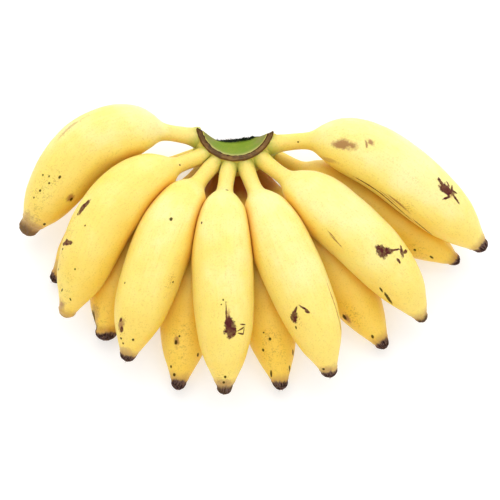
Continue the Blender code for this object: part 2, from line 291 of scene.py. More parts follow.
FINGERS = (
    upper(
        1, 194, 176, (-134, -70), 223, (30.5, 44.0, 41.0, 29.0, 14.0),
        first_handle=80, last_handle=49, girth=1.02, roll_deg=18, ripeness=-0.09, blush=0.36,
        cap=1.15, cap_from=0.925, cap_share=0.70,
        marks=(
            spot(0.662, -14, 1.0, 0.8), spot(0.709, -2, 0.7, 0.6), spot(0.759, 7, 0.9, 0.7),
            spot(0.697, 18, 0.6, 0.6), spot(0.685, 5, 0.5, 0.5), spot(0.722, -60, 1.2, 1.0),
            spot(0.885, -58, 1.3, 1.0), spot(0.80, 12, 0.6, 0.5), bruise(0.717, -56, 3.2, 2.6),
            scuff(0.512, 41, 8.0, 1.4, -4), scuff(0.925, -10, 8.0, 9.0), freckles(0.735, 2, 20.0, 10.0),
            freckles(0.885, 0, 11.0, 10.0), freckles(0.50, 40, 14.0, 4.0),
        ),
    ),
    upper(
        2, 224, 208, (-106, -125), 240, (30.5, 46.0, 46.5, 36.0, 19.0),
        first_handle=82, last_handle=53, ripeness=0.28, cap_from=0.972, cap_share=0.7,
        marks=(
            stain(0.549, 42, 4.2, 1.7, 19), stain(0.684, 43, 1.3, 4.6, -20),
            stain(0.680, 49, 1.3, 1.4, -20), spot(0.153, -23, 0.6, 0.6), spot(0.865, 27, 1.4, 0.5, 12),
            spot(0.885, -9, 1.2, 0.5, -30), spot(0.760, 4, 0.6, 0.5), spot(0.600, 16, 0.5, 0.5),
            spot(0.715, 55, 0.8, 0.7), spot(0.80, 58, 0.7, 0.6), bruise(0.935, 30, 3.0, 2.2),
            scuff(0.945, 40, 6.0, 4.0), freckles(0.70, 60, 32.0, 10.0), freckles(0.86, 20, 12.0, 9.0),
        ),
    ),
    upper(
        3, 241, 236, (-67, -153), 252, (30.5, 46.5, 46.5, 36.0, 20.0),
        first_handle=50, last_handle=51, roll_deg=36, cap=0.93, ripeness=0.22,
        marks=(
            spot(0.396, -4, 0.95, 0.95), spot(0.607, -57, 0.7, 0.6), spot(0.667, 40, 0.6, 0.5),
            stain(0.807, 31, 1.8, 0.9, 20), stain(0.842, 26, 1.7, 1.2), bruise(0.826, 29, 4.0, 2.2),
            spot(0.870, -12, 1.0, 0.7), spot(0.905, 22, 0.8, 0.6), spot(0.885, 30, 0.8, 0.8),
            scuff(0.945, 8, 4.5, 5.0), freckles(0.84, 28, 10.0, 6.0), freckles(0.62, -50, 10.0, 6.0),
        ),
    ),
    upper(
        4, 261, 261, (-7, -173.5), 267, (30.5, 50.0, 48.5, 36.5, 20.0),
        first_handle=48, last_handle=46, roll_deg=36, ripeness=0.18,
        cap=0.88, cap_from=0.945, cap_share=0.88,
        marks=(
            stain(0.708, -11, 5.4, 3.1), stain(0.724, -17, 2.6, 2.6), stain(0.655, -5, 5.5, 0.45),
            stain(0.700, -38, 0.4, 2.0, 12), stain(0.716, -36, 0.45, 3.2, -20),
            stain(0.733, -34, 0.5, 2.4, 15), stain(0.722, -43, 2.2, 0.4, 10),
            bruise(0.690, -9, 7.0, 1.8), spot(0.609, 0, 0.6, 0.5), spot(0.343, 42, 0.7, 0.6),
            spot(0.187, -12, 1.0, 0.95), spot(0.905, -3, 1.0, 0.8), spot(0.933, 3, 0.9, 0.8),
            spot(0.625, 4, 0.4, 0.4), scuff(0.945, 0, 5.0, 6.0), freckles(0.92, 0, 9.0, 7.0),
        ),
    ),
    upper(
        5, 284, 285, (58, -163), 286, (30.5, 46.0, 46.5, 36.0, 20.0),
        first_handle=40, last_handle=45, roll_deg=18, cap=0.97, ripeness=0.12, cap_from=0.960,
        marks=(
            stain(0.695, 42, 3.3, 2.1, 30), stain(0.675, 35, 3.4, 0.8, 48),
            stain(0.676, 15, 3.4, 0.6, -38), stain(0.690, 12, 1.6, 1.0, -38),
            spot(0.737, 50, 1.2, 0.7, 20), bruise(0.742, -54, 17.0, 0.6, 2), spot(0.945, 36, 1.0, 0.9),
            scuff(0.950, 22, 3.0, 4.0), freckles(0.70, 40, 9.0, 5.0),
        ),
    ),
    upper(
        6, 308, 311, (116, -128), 300, (30.5, 45.0, 46.0, 35.0, 18.0),
        first_handle=32, last_handle=38, roll_deg=36, ripeness=0.22, blush=-0.18,
        cap=0.82, cap_from=0.958, cap_share=0.85,
        marks=(
            stain(0.636, 2, 3.6, 3.4), stain(0.652, -8, 3.4, 1.8, -30), stain(0.690, -31, 3.6, 1.3, 40),
            stain(0.700, -38, 1.0, 3.0, 10), stain(0.702, -12, 1.5, 0.8),
            stain(0.668, -22, 3.6, 0.6, -62), bruise(0.496, 51, 4.5, 0.6, 6),
            bruise(0.470, 47, 3.0, 0.5, 6), spot(0.752, 59, 1.8, 0.8, 8), spot(0.805, 65, 5.2, 1.25, 8),
            spot(0.780, 61, 1.0, 0.6),
        ),
    ),
    upper(
        7, 335, 3, (156, -82), 328, (30.5, 45.0, 45.0, 36.0, 19.0),
        first_handle=65, last_handle=62, girth=1.04, roll_deg=-18, ripeness=0.22, blush=-0.24,
        cap=0.95, cap_from=0.948,
        marks=(
            bruise(0.313, 20, 8.5, 3.4, -4), bruise(0.300, 23, 5.0, 2.6),
            bruise(0.391, -2, 2.4, 1.8, 30), bruise(0.382, 5, 2.6, 0.8, 60),
            stain(0.697, -17, 4.4, 3.0, -10), stain(0.668, -19, 3.6, 1.1, 24),
            stain(0.735, -18, 3.6, 0.8, 12), stain(0.708, -30, 0.8, 2.6, -18),
            stain(0.712, -4, 0.7, 2.6, 25), stain(0.690, -30, 2.0, 0.7, 35),
            stain(0.725, -28, 2.2, 0.6, -20), bruise(0.700, -17, 5.0, 3.4),
            stain(0.455, 80, 13.0, 0.65), stain(0.60, 84, 13.0, 0.55, 3), stain(0.735, 88, 9.0, 0.6, 3),
            bruise(0.560, 74, 10.0, 0.45, 2), bruise(0.600, 68, 9.0, 1.2), spot(0.113, 25, 0.6, 0.5),
            scuff(0.26, 66, 9.0, 2.0, 10), freckles(0.62, 60, 12.0, 5.0),
        ),
    ),
    lower(
        1, 205, 195, (-116, -100), 229, (11.0, 15.5, 15.0, 11.5, 7.0),
        first_handle=46, last_handle=34, girth=0.8, ripeness=0.7, heart=0.0,
        marks=(spot(0.27, -25, 2.2, 1.6), bruise(0.25, -20, 7.0, 5.0), scuff(0.93, 40, 5.0, 4.0)),
    ),
    lower(
        2, 225, 231, (-81, -138), 272, first_handle=36, last_handle=48, cap=1.3, heart=0.3,
        marks=(
            spot(0.915, 68, 5.0, 1.0), spot(0.885, 64, 1.6, 0.9), spot(0.955, 74, 3.0, 1.2),
            scuff(0.90, 60, 8.0, 5.0), freckles(0.90, 30, 12.0, 9.0),
        ),
    ),
    lower(
        3, 245, 250, (-36, -169), 262, heart=0.8, cap=0.92, cap_from=0.952, ripeness=0.50, blush=0.10,
        marks=(
            spot(0.802, 16, 1.4, 0.9), spot(0.842, -55, 1.1, 0.8), spot(0.775, 8, 0.6, 0.6),
            spot(0.905, 42, 0.9, 0.8), spot(0.938, 28, 1.0, 1.0), bruise(0.80, 14, 3.4, 1.9),
            freckles(0.80, 5, 20.0, 11.0),
        ),
    ),
    lower(
        4, 274, 275, (28, -169), 277, heart=0.9, cap=0.93, cap_from=0.958, ripeness=0.50, blush=0.10,
        marks=(
            spot(0.777, 9, 0.9, 0.8), spot(0.817, 35, 0.9, 0.8), spot(0.850, -62, 1.8, 0.9),
            spot(0.924, 44, 2.2, 0.8, 12), spot(0.915, -60, 2.0, 0.8, -10), spot(0.745, 20, 0.5, 0.5),
            freckles(0.82, 10, 18.0, 10.0), freckles(0.90, -50, 8.0, 6.0),
        ),
    ),
    lower(
        5, 299, 312, (93, -143), 301, heart=0.75, cap=0.92,
        marks=(
            spot(0.789, 64, 2.0, 1.3), spot(0.925, 36, 1.2, 0.9), bruise(0.80, 60, 3.6, 2.2),
            freckles(0.80, 40, 14.0, 9.0),
        ),
    ),
    lower(
        6, 334, 329, (141, -88), 330,
        first_handle=38, last_handle=34, girth=0.9, ripeness=0.66, heart=0.0, cap=0.84, cap_from=0.968,
        marks=(
            spot(0.789, 52, 0.9, 0.8), spot(0.872, 55, 1.4, 0.8), freckles(0.80, 50, 10.0, 7.0),
        ),
    ),
)


class Spine:
    """A finger's centre line, read by the share of its length, with the radius there."""

    def __init__(self, finger: Finger) -> None:
        """Lays the centre line out in plan and lifts it by the finger's heights.

        Args:
            finger: the finger that it runs through.
        """
        self.finger = finger
        root = CROWN_CENTRE + flat_direction(finger.root_deg) * (CROWN_RADIUS + STALK_GAP)
        tip = Vector((*finger.tip, 0.0))
        plan = np.array(geometry.interpolate_bezier(
            root,
            root + flat_direction(finger.heading_deg) * finger.first_handle,
            tip - flat_direction(finger.tip_heading_deg) * finger.last_handle,
            tip,
            SPINE_STEPS + 1,
        ))
        knots = tuple(zip(HEIGHT_SHARES, finger.heights))
        plan[:, 2] = curve_through(knots, self.shares_of_length(plan))
        self.points = plan
        self.length = float(np.linalg.norm(np.diff(plan, axis=0), axis=1).sum())
        self.shares = self.shares_of_length(plan)
        ways = np.gradient(plan, axis=0)
        self.ways = ways / np.linalg.norm(ways, axis=1)[:, None]

    @staticmethod
    def shares_of_length(points: np.ndarray) -> np.ndarray:
        """How far along a line each of its points lies, from 0 to 1."""
        steps = np.linalg.norm(np.diff(points, axis=0), axis=1)
        travelled = np.concatenate([[0.0], np.cumsum(steps)])
        return travelled / travelled[-1]

    def at(self, shares: np.ndarray) -> tuple[np.ndarray, np.ndarray]:
        """Reads the line, which runs on straight before its root and past its tip.

        Args:
            shares: shares of the length.

        Returns:
            The points there and the unit directions of travel.
        """
        inside = np.clip(shares, 0.0, 1.0)
        points, ways = (
            np.stack([np.interp(inside, self.shares, table[:, k]) for k in range(3)], axis=1)
            for table in (self.points, self.ways)
        )
        ways /= np.linalg.norm(ways, axis=1)[:, None]
        return points + ways * ((shares - inside) * self.length)[:, None], ways

    def radius(self, shares: np.ndarray) -> np.ndarray:
        """The finger's radius at those shares of its length, with a domed flower end."""
        first, last = DOME_SHARES
        inside = np.clip(shares, 0.0, 1.0)
        dome = np.sqrt(1 - np.clip((inside - first) / (last - first), 0.0, 1.0) ** DOME_POWER)
        return self.finger.girth * curve_through(GIRTH_PROFILE, inside) * dome

    def spheres(self) -> tuple[np.ndarray, np.ndarray]:
        """Spheres that just meet the peel from inside, for the contact rule.

        Returns:
            Their centres and their radii.
        """
        radii = self.radius(self.shares)
        slopes = np.gradient(radii, self.shares * self.length)
        return self.points, radii / np.sqrt(1 + slopes**2)


Spheres = tuple[np.ndarray, np.ndarray]


def nearness(points: np.ndarray, spheres: Spheres) -> np.ndarray:
    """How many radii away each point is from the nearest sphere of a finger."""
    centres, radii = spheres
    squared = (points**2).sum(1)[:, None] + (centres**2).sum(1)[None] - 2 * points @ centres.T
    return np.sqrt(np.maximum(squared, 0.0) / radii**2).min(axis=1)


def in_place(points: np.ndarray) -> np.ndarray:
    """Points in the hand's own millimetres, moved to where they stand, in metres."""
    return (points + np.array(PLAN_SHIFT)) * MM


def paint(data: bpy.types.Mesh, values: dict[str, np.ndarray]) -> None:
    """Stores numbers or vectors on a mesh's points, by name."""
    for key, painted in values.items():
        kind, channel = ("FLOAT_VECTOR", "vector") if painted.ndim == 2 else ("FLOAT", "value")
        layer = data.attributes.new(key, kind, "POINT")
        layer.data.foreach_set(channel, painted.astype(np.float32).ravel())


def read_back(data: bpy.types.Mesh, name: str, size: int = 1) -> np.ndarray:
    """Reads what a mesh's points carry.

    Args:
        data: the mesh.
        name: the attribute's name.
        size: how many numbers it has for each point.

    Returns:
        One row for each point, or one number where size is 1.
    """
    found = np.zeros(len(data.vertices) * size, np.float32)
    data.attributes[name].data.foreach_get("vector" if size > 1 else "value", found)
    return found.astype(float).reshape(-1, size) if size > 1 else found.astype(float)


def riding(name: str, data: bpy.types.Mesh) -> bpy.types.Object:
    """Puts a finished mesh into the scene, on the hand.

    Args:
        name: the piece's name.
        data: its mesh, in metres, where it stands.

    Returns:
        The object.
    """
    data.shade_smooth()
    made = bpy.data.objects.new(name, data)
    bpy.context.scene.collection.objects.link(made)
    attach(made, BODY)
    return made


@dataclass
class PieceMesh:
    """Vertices, quads and painted values, on their way to becoming one piece."""

    points: np.ndarray
    faces: list[tuple[int, ...]]
    values: dict[str, np.ndarray] = field(default_factory=dict)

    def build(self, name: str, finish: bpy.types.Material, slot: str) -> bpy.types.Object:
        """Makes the piece, riding on the hand.

        Args:
            name: the piece's name.
            finish: its material.
            slot: a material slot name; not used.

        Returns:
            The object.
        """
        data = bpy.data.meshes.new(name)
        data.from_pydata(in_place(self.points).tolist(), [], self.faces)
        paint(data, self.values)
        data.materials.append(finish)
        return riding(name, data)


class Value:
    """A number socket of a node tree, so that its maths can be written as Python."""

    def __init__(self, tree: NodeTree, socket: bpy.types.NodeSocket) -> None:
        """Wraps a socket.

        Args:
            tree: the tree that the socket belongs to.
            socket: an output that carries a number.
        """
        self.tree = tree
        self.socket = socket

    def maths(self, operation: str, *operands: object) -> Value:
        """Adds a Math node over the operands.

        Args:
            operation: the Math node's operation.
            operands: numbers and values, in order.

        Returns:
            The result.
        """
        made = self.tree.node("ShaderNodeMath", {"operation": operation}, dict(enumerate(operands)))
        return Value(self.tree, made.outputs[0])

    def __add__(self, other: object) -> Value:
        """The sum."""
        return self.maths("ADD", self, other)

    __radd__ = __add__

    def __sub__(self, other: object) -> Value:
        """The difference."""
        return self.maths("SUBTRACT", self, other)

    def __rsub__(self, other: object) -> Value:
        """The difference, from a number."""
        return self.maths("SUBTRACT", other, self)

    def __mul__(self, other: object) -> Value:
        """The product."""
        return self.maths("MULTIPLY", self, other)

    __rmul__ = __mul__

    def __pow__(self, other: object) -> Value:
        """The power."""
        return self.maths("POWER", self, other)

    def either(self, other: object) -> Value:
        """The larger of the two."""
        return self.maths("MAXIMUM", self, other)

    def nearer(self, other: object) -> Value:
        """The smaller of the two."""
        return self.maths("MINIMUM", self, other)

    def ramp(self, low: float, high: float) -> Value:
        """A soft step of the value, from 0 at low to 1 at high.

        Args:
            low: where it starts.
            high: where it ends, which may be below low.

        Returns:
            The step, between 0 and 1.
        """
        settings = {"interpolation_type": "SMOOTHSTEP"}
        inputs = {"Value": self, "From Min": low, "From Max": high}
        made = self.tree.node("ShaderNodeMapRange", settings, inputs)
        return Value(self.tree, made.outputs["Result"])


class NodeTree:
    """A tree of nodes under construction, for a material or for geometry."""

    def __init__(self, tree: bpy.types.NodeTree) -> None:
        """Takes the tree that the nodes go into."""
        self.tree = tree

    def node(
        self, kind: str, settings: dict[str, object], inputs: dict[object, object],
    ) -> bpy.types.Node:
        """Adds a node.

        Args:
            kind: the node's type.
            settings: its properties, set first.
            inputs: numbers, colours, values or sockets for its inputs, by name or number.

        Returns:
            The node.
        """
        made = self.tree.nodes.new(kind)
        for key, setting in settings.items():
            setattr(made, key, setting)
        for key, given in inputs.items():
            self.feed(made.inputs[key], given)
        return made

    def feed(self, socket: bpy.types.NodeSocket, given: object) -> None:
        """Links a value or socket to an input, or sets the input to a number or colour."""
        if isinstance(given, Value):
            given = given.socket
        if isinstance(given, bpy.types.NodeSocket):
            self.tree.links.new(given, socket)
        elif isinstance(given, tuple) and socket.type == "RGBA":
            socket.default_value = (*given, 1.0)
        else:
            socket.default_value = given

    def noise(self, where: object, scale: object, detail: float = 3.0, rough: float = 0.5) -> Value:
        """Soft noise.

        Args:
            where: the coordinates that it reads.
            scale: how many features go into one unit of them, as a number or a value.
            detail: how many finer layers it has.
            rough: how strong the finer layers are.

        Returns:
            The noise, about 0.5.
        """
        inputs = {"Vector": where, "Scale": scale, "Detail": detail, "Roughness": rough}
        return Value(self, self.node("ShaderNodeTexNoise", {}, inputs).outputs[0])


class FinishTree(NodeTree):
    """A material under construction."""

    def __init__(self, name: str) -> None:
        """Starts a material with its Principled shader.

        Args:
            name: the material's name.
        """
        self.material = bpy.data.materials.new(name)
        self.material.use_nodes = True
        super().__init__(self.material.node_tree)
        self.shader = self.material.node_tree.nodes["Principled BSDF"]

    def vary(self, socket: str, given: object) -> None:
        """Feeds a socket of the shader with what differs from place to place."""
        self.feed(self.shader.inputs[socket], given)

    def fix(self, settings: dict[str, object]) -> None:
        """Sets sockets of the shader, by name, to what is the same all over."""
        for socket, setting in settings.items():
            self.feed(self.shader.inputs[socket], setting)

    def distance(
        self, where: bpy.types.NodeSocket, mark: Mark, centre: tuple[float, float],
    ) -> Value:
        """How far from a mark's middle, 1 on its edge.

        Args:
            where: the skin coordinates, in metres.
            mark: the mark.
            centre: its middle in those coordinates.

        Returns:
            The distance, in the mark's own half sizes.
        """
        placed = self.node("ShaderNodeMapping", {"vector_type": "TEXTURE"}, {
            "Vector": where,
            "Location": (*centre, 0.0),
            "Rotation": (0.0, 0.0, math.radians(mark.turn_deg)),
            "Scale": (mark.length * MM, mark.width * MM, 1.0),
        })
        made = self.node("ShaderNodeVectorMath", {"operation": "LENGTH"}, {0: placed.outputs[0]})
        return Value(self, made.outputs["Value"])

    def painted(self, name: str) -> Value:
        """A number painted on the mesh."""
        made = self.node("ShaderNodeAttribute", {"attribute_name": name}, {})
        return Value(self, made.outputs["Fac"])

    def painted_vector(self, name: str) -> bpy.types.NodeSocket:
        """A vector painted on the mesh."""
        return self.node("ShaderNodeAttribute", {"attribute_name": name}, {}).outputs["Vector"]

    def place(self) -> bpy.types.NodeSocket:
        """The object coordinates, in metres."""
        return self.node("ShaderNodeTexCoord", {}, {}).outputs["Object"]

    def cells(self, where: bpy.types.NodeSocket, scale: float) -> Value:
        """The distance to the nearest of many scattered points."""
        made = self.node("ShaderNodeTexVoronoi", {}, {"Vector": where, "Scale": scale})
        return Value(self, made.outputs["Distance"])

    def blend(self, share: object, first: object, second: object) -> bpy.types.NodeSocket:
        """Mixes two colours.

        Args:
            share: 0 for the first, 1 for the second.
            first: a colour or a colour socket.
            second: a colour or a colour socket.

        Returns:
            The mixed colour.
        """
        made = self.node("ShaderNodeMix", {"data_type": "RGBA"}, {0: share})
        self.feed(made.inputs[6], first)
        self.feed(made.inputs[7], second)
        return made.outputs[2]

    def bump(self, height: Value, distance: float) -> None:
        """Feeds the shader's normal with relief.

        Args:
            height: the relief, from 0 to 1.
            distance: how high 1 stands, in metres.
        """
        inputs = {"Height": height, "Distance": distance, "Strength": 1.0}
        self.vary("Normal", self.node("ShaderNodeBump", {}, inputs).outputs["Normal"])


class PeelNoise:
    """The places and noises that all colours of one peel are made from."""

    def __init__(self, tree: FinishTree) -> None:
        """Adds them to a material.

        Args:
            tree: the material.
        """
        self.place = tree.place()
        self.grain = tree.painted_vector("grain")
        self.skin = tree.node("ShaderNodeUVMap", {"uv_map": "skin"}, {}).outputs[0]
        self.along = tree.painted("along")
        self.mottle = tree.noise(self.place, 45.0, 4.0) - 0.5
        self.blotch = tree.noise(self.place, 230.0, 2.0) - 0.5
        self.fine = tree.noise(self.place, 420.0, 3.0)
        self.edge = tree.noise(self.place, 650.0, 4.0, 0.7) - 0.5
        self.speck = tree.noise(self.place, 1100.0, 2.0)
        self.fibre = tree.noise(self.grain, 0.9, 3.0, 0.6)
        self.ragged = self.along + (tree.noise(self.grain, 0.22, 5.0, 0.75) - 0.5) * 0.050


@dataclass(frozen=True)
class PeelFinish:
    """The look of one finger's skin, from the crown to the dried flower end."""

    pale: Colour = (0.95, 0.84, 0.39)
    lemon: Colour = (0.94, 0.755, 0.195)
    orange: Colour = (0.88, 0.59, 0.072)
    stalk: Colour = (0.88, 0.675, 0.16)
    green: Colour = (0.40, 0.44, 0.06)
    # Dark red-brown: painted shade in the gaps deep in the hand, over some real browning.
    heart: Colour = (0.36, 0.055, 0.012)
    contact_shade: Colour = (0.70, 0.27, 0.025)
    nook_shade: Colour = (0.88, 0.50, 0.045)
    ochre: Colour = (0.38, 0.18, 0.065)
    dry: Colour = (0.028, 0.012, 0.010)
    ash: Colour = (0.20, 0.12, 0.090)
    spot: Colour = (0.060, 0.038, 0.002)
    freckle: Colour = (0.30, 0.165, 0.008)
    stain: Colour = (0.095, 0.018, 0.018)
    bruise: Colour = (0.29, 0.090, 0.032)
    scuff: Colour = (0.45, 0.25, 0.09)
    gloss: float = 0.45
    gloss_roughness: float = 0.36
    relief: float = 0.00012
    depth: float = 0.38
    depth_reach: float = 0.006
    depth_tint: Colour = (1.0, 0.45, 0.10)

    def build(self, spine: Spine) -> bpy.types.Material:
        """Makes the material.

        Args:
            spine: the finger's centre line, which its blemishes are placed along.

        Returns:
            The material.
        """
        finger = spine.finger
        tree = FinishTree(f"peel_{finger.name}")
        noise = PeelNoise(tree)
        colour = self.ripened(tree, noise, finger)
        colour = self.tinted(tree, noise, finger, colour)
        colour, blemish = self.blemished(tree, noise, spine, colour)
        colour, cap = self.dried(tree, noise, finger, colour)
        tree.vary("Base Color", colour)
        tree.vary("Roughness", 0.38 + noise.fine * 0.14 + cap * 0.35)
        flaky = cap * tree.noise(noise.grain, 1.6, 4.0, 0.7) * 5.0
        relief = noise.fine * 0.6 + noise.fibre * 0.3 + flaky
        if blemish:
            relief = relief - blemish * 0.6
        tree.bump(relief, self.relief)
        dull = cap if blemish is None else cap.either(blemish)
        tree.vary("Coat Weight", self.gloss - dull * self.gloss)
        tree.fix({
            "Coat Roughness": self.gloss_roughness,
            "Specular IOR Level": BARE_SHINE,
            "Subsurface Weight": self.depth,
            "Subsurface Radius": self.depth_tint,
            "Subsurface Scale": self.depth_reach,
        })
        return tree.material

    def ripened(self, tree: FinishTree, noise: PeelNoise, finger: Finger) -> bpy.types.NodeSocket:
        """The clean peel: from pale lemon to orange, the riper the nearer to the tip, with painted light
        and shade on the shoulder, the tapers and the side turned from the light.

        Args:
            tree: the material.
            noise: its noises.
            finger: the finger, which says how ripe it is.

        Returns:
            The colour.
        """
        along = noise.along
        # Painted light and shade: a paler lit shoulder, and more orange towards the tip, which is both the
        # real deepening of colour there and painted shade on the tapers that slope from the light.
        ripe = finger.ripeness + along.ramp(0.20, 0.50) * finger.blush + along.ramp(0.45, 0.95) * 0.38
        # Painted shade: riper orange where the peel faces away from the key light.
        ripe = ripe + tree.painted("painted_shade_side") * 0.42 + noise.mottle * 0.8
        ripe = ripe + (noise.fibre - 0.5) * 0.14
        colour = tree.blend(ripe.ramp(-0.15, 0.40), self.pale, self.lemon)
        colour = tree.blend(ripe.ramp(0.15, 1.15), colour, self.orange)
        neck = (along + noise.mottle * 0.12).ramp(0.19, 0.10)
        colour = tree.blend(neck * 0.7, colour, self.stalk)
        mealy = noise.speck * 0.75 + noise.fibre * 0.25
        return tree.blend(mealy.ramp(0.50, 0.68) * 0.17, colour, self.freckle)

    def tinted(
        self, tree: FinishTree, noise: PeelNoise, finger: Finger, colour: bpy.types.NodeSocket,
    ) -> bpy.types.NodeSocket:
        """Tints the peel: painted shade between neighbours and where they press, green at the crown,
        painted shade over some browning in the heart, and ochre before the dried end.

        Args:
            tree: the material.
            noise: its noises.
            finger: the finger.
            colour: the clean peel.

        Returns:
            The colour with its tints.
        """
        fine = noise.fine - 0.5
        # Painted shade: orange deep between neighbouring fingers.
        nook_shade = (tree.painted("nook_shade") + noise.mottle * 0.4).ramp(0.05, 1.0)
        colour = tree.blend(nook_shade * 0.55, colour, self.nook_shade)
        # Painted shade: dark orange in the creases where a neighbour presses.
        contact_shade = (tree.painted("contact_shade") + fine * 0.2).ramp(0.02, 0.95)
        colour = tree.blend(contact_shade * 0.88, colour, self.contact_shade)
        crook = (tree.painted("crook") + fine * 0.3).ramp(0.16, 0.95)
        colour = tree.blend(crook, colour, self.green)
        # Painted shade over some real browning, on the stalks deep in the hand.
        if finger.heart:
            deep = (noise.along + noise.mottle * 0.15).ramp(0.22, 0.10)
            colour = tree.blend(deep * finger.heart, colour, self.heart)
        burnt = noise.ragged.ramp(finger.cap_from - 0.040, finger.cap_from + 0.008)
        return tree.blend(burnt * 0.62, colour, self.ochre)

    def blemished(
        self, tree: FinishTree, noise: PeelNoise, spine: Spine, colour: bpy.types.NodeSocket,
    ) -> tuple[bpy.types.NodeSocket, Value | None]:
        """Adds bruises, scuffs, stains, pores, freckles and spots, in that order.

        Args:
            tree: the material.
            noise: its noises.
            spine: the finger's centre line.
            colour: the peel so far.

        Returns:
            The colour, and how far a point is stained or spotted, or None on a finger without.
        """
        edge, blotch, fibre = noise.edge, noise.blotch, noise.fibre - 0.5
        bruised, scuffed, stained, freckled, spotted = (
            self.reach(tree, noise.skin, spine, kind) for kind in (
                MarkKind.BRUISE, MarkKind.SCUFF, MarkKind.STAIN, MarkKind.FRECKLES, MarkKind.SPOT,
            )
        )
        blemish = None
        if bruised:
            share = (bruised + edge * 0.9 + blotch * 1.1 + fibre * 0.6).ramp(1.25, 0.40)
            colour = tree.blend(share * 0.80, colour, self.bruise)
        if scuffed:
            share = (scuffed + edge * 1.4 + blotch * 1.0 + fibre * 1.2).ramp(1.2, 0.5)
            colour = tree.blend(share * 0.55, colour, self.scuff)
        if stained:
            blemish = (stained + edge * 1.2 + blotch * 1.1 + fibre * 0.7).ramp(1.25, 0.85)
            blemish = blemish * (0.94 + (noise.fine - 0.5) * 0.6)
            colour = tree.blend(blemish, colour, self.stain)
        dots = tree.cells(noise.place, 460.0)
        sparse = tree.noise(noise.place, 90.0, 1.0).ramp(0.56, 0.66)
        pores = dots.ramp(0.20, 0.08) * sparse * noise.along.ramp(0.16, 0.24) * 0.28
        if freckled:
            share = (freckled + blotch * 0.8).ramp(1.0, 0.4)
            share = share * tree.noise(noise.place, 260.0, 1.0).ramp(0.42, 0.54)
            pores = pores.either(dots.ramp(0.34, 0.10) * share * 0.46)
            pores = pores.either(noise.speck.ramp(0.47, 0.64) * share * 0.28)
        colour = tree.blend(pores, colour, self.freckle)
        if spotted:
            spots = (spotted + edge * 0.9).ramp(1.25, 0.80)
            blemish = spots if blemish is None else spots.either(blemish)
            colour = tree.blend(spots * 0.95, colour, self.spot)
        return colour, blemish

    def dried(
        self, tree: FinishTree, noise: PeelNoise, finger: Finger, colour: bpy.types.NodeSocket,
    ) -> tuple[bpy.types.NodeSocket, Value]:
        """Dries the flower end, with a ragged edge and ashy flakes.

        Args:
            tree: the material.
            noise: its noises.
            finger: the finger, which says where the end begins and how fully it has dried.
            colour: the peel so far.

        Returns:
            The colour, and how dry a point is.
        """
        fresh = 1 - finger.cap_share
        flakes = tree.noise(noise.grain, 0.9, 5.0, 0.75)
        worn = (finger.cap_share + (flakes - 0.5) * (0.3 + 2.2 * fresh)).ramp(0.0, 1.0)
        cap = noise.ragged.ramp(finger.cap_from, finger.cap_from + 0.014 + 0.09 * fresh) * worn
        ashy = flakes + noise.along.ramp(0.992, finger.cap_from) * 0.10
        crust = tree.blend(ashy.ramp(0.45, 0.65) * 0.80, self.dry, self.ash)
        return tree.blend(cap, colour, crust), cap

    @staticmethod
    def reach(
        tree: FinishTree, skin: bpy.types.NodeSocket, spine: Spine, kind: MarkKind,
    ) -> Value | None:
        """How far the nearest mark of a kind is.

        Args:
            tree: the material.
            skin: the skin coordinates.
            spine: the finger's centre line.
            kind: the sort of mark.

        Returns:
            The distance in that mark's own half sizes, or None where the finger has no such mark.
        """
        nearest = None
        for mark in spine.finger.marks:
            if mark.kind is not kind:
                continue
            radius = float(spine.radius(np.array([mark.along]))[0])
            centre = (mark.along * spine.length * MM, math.radians(mark.around_deg) * radius * MM)
            apart = tree.distance(skin, mark, centre)
            nearest = apart if nearest is None else nearest.nearer(apart)
        return nearest


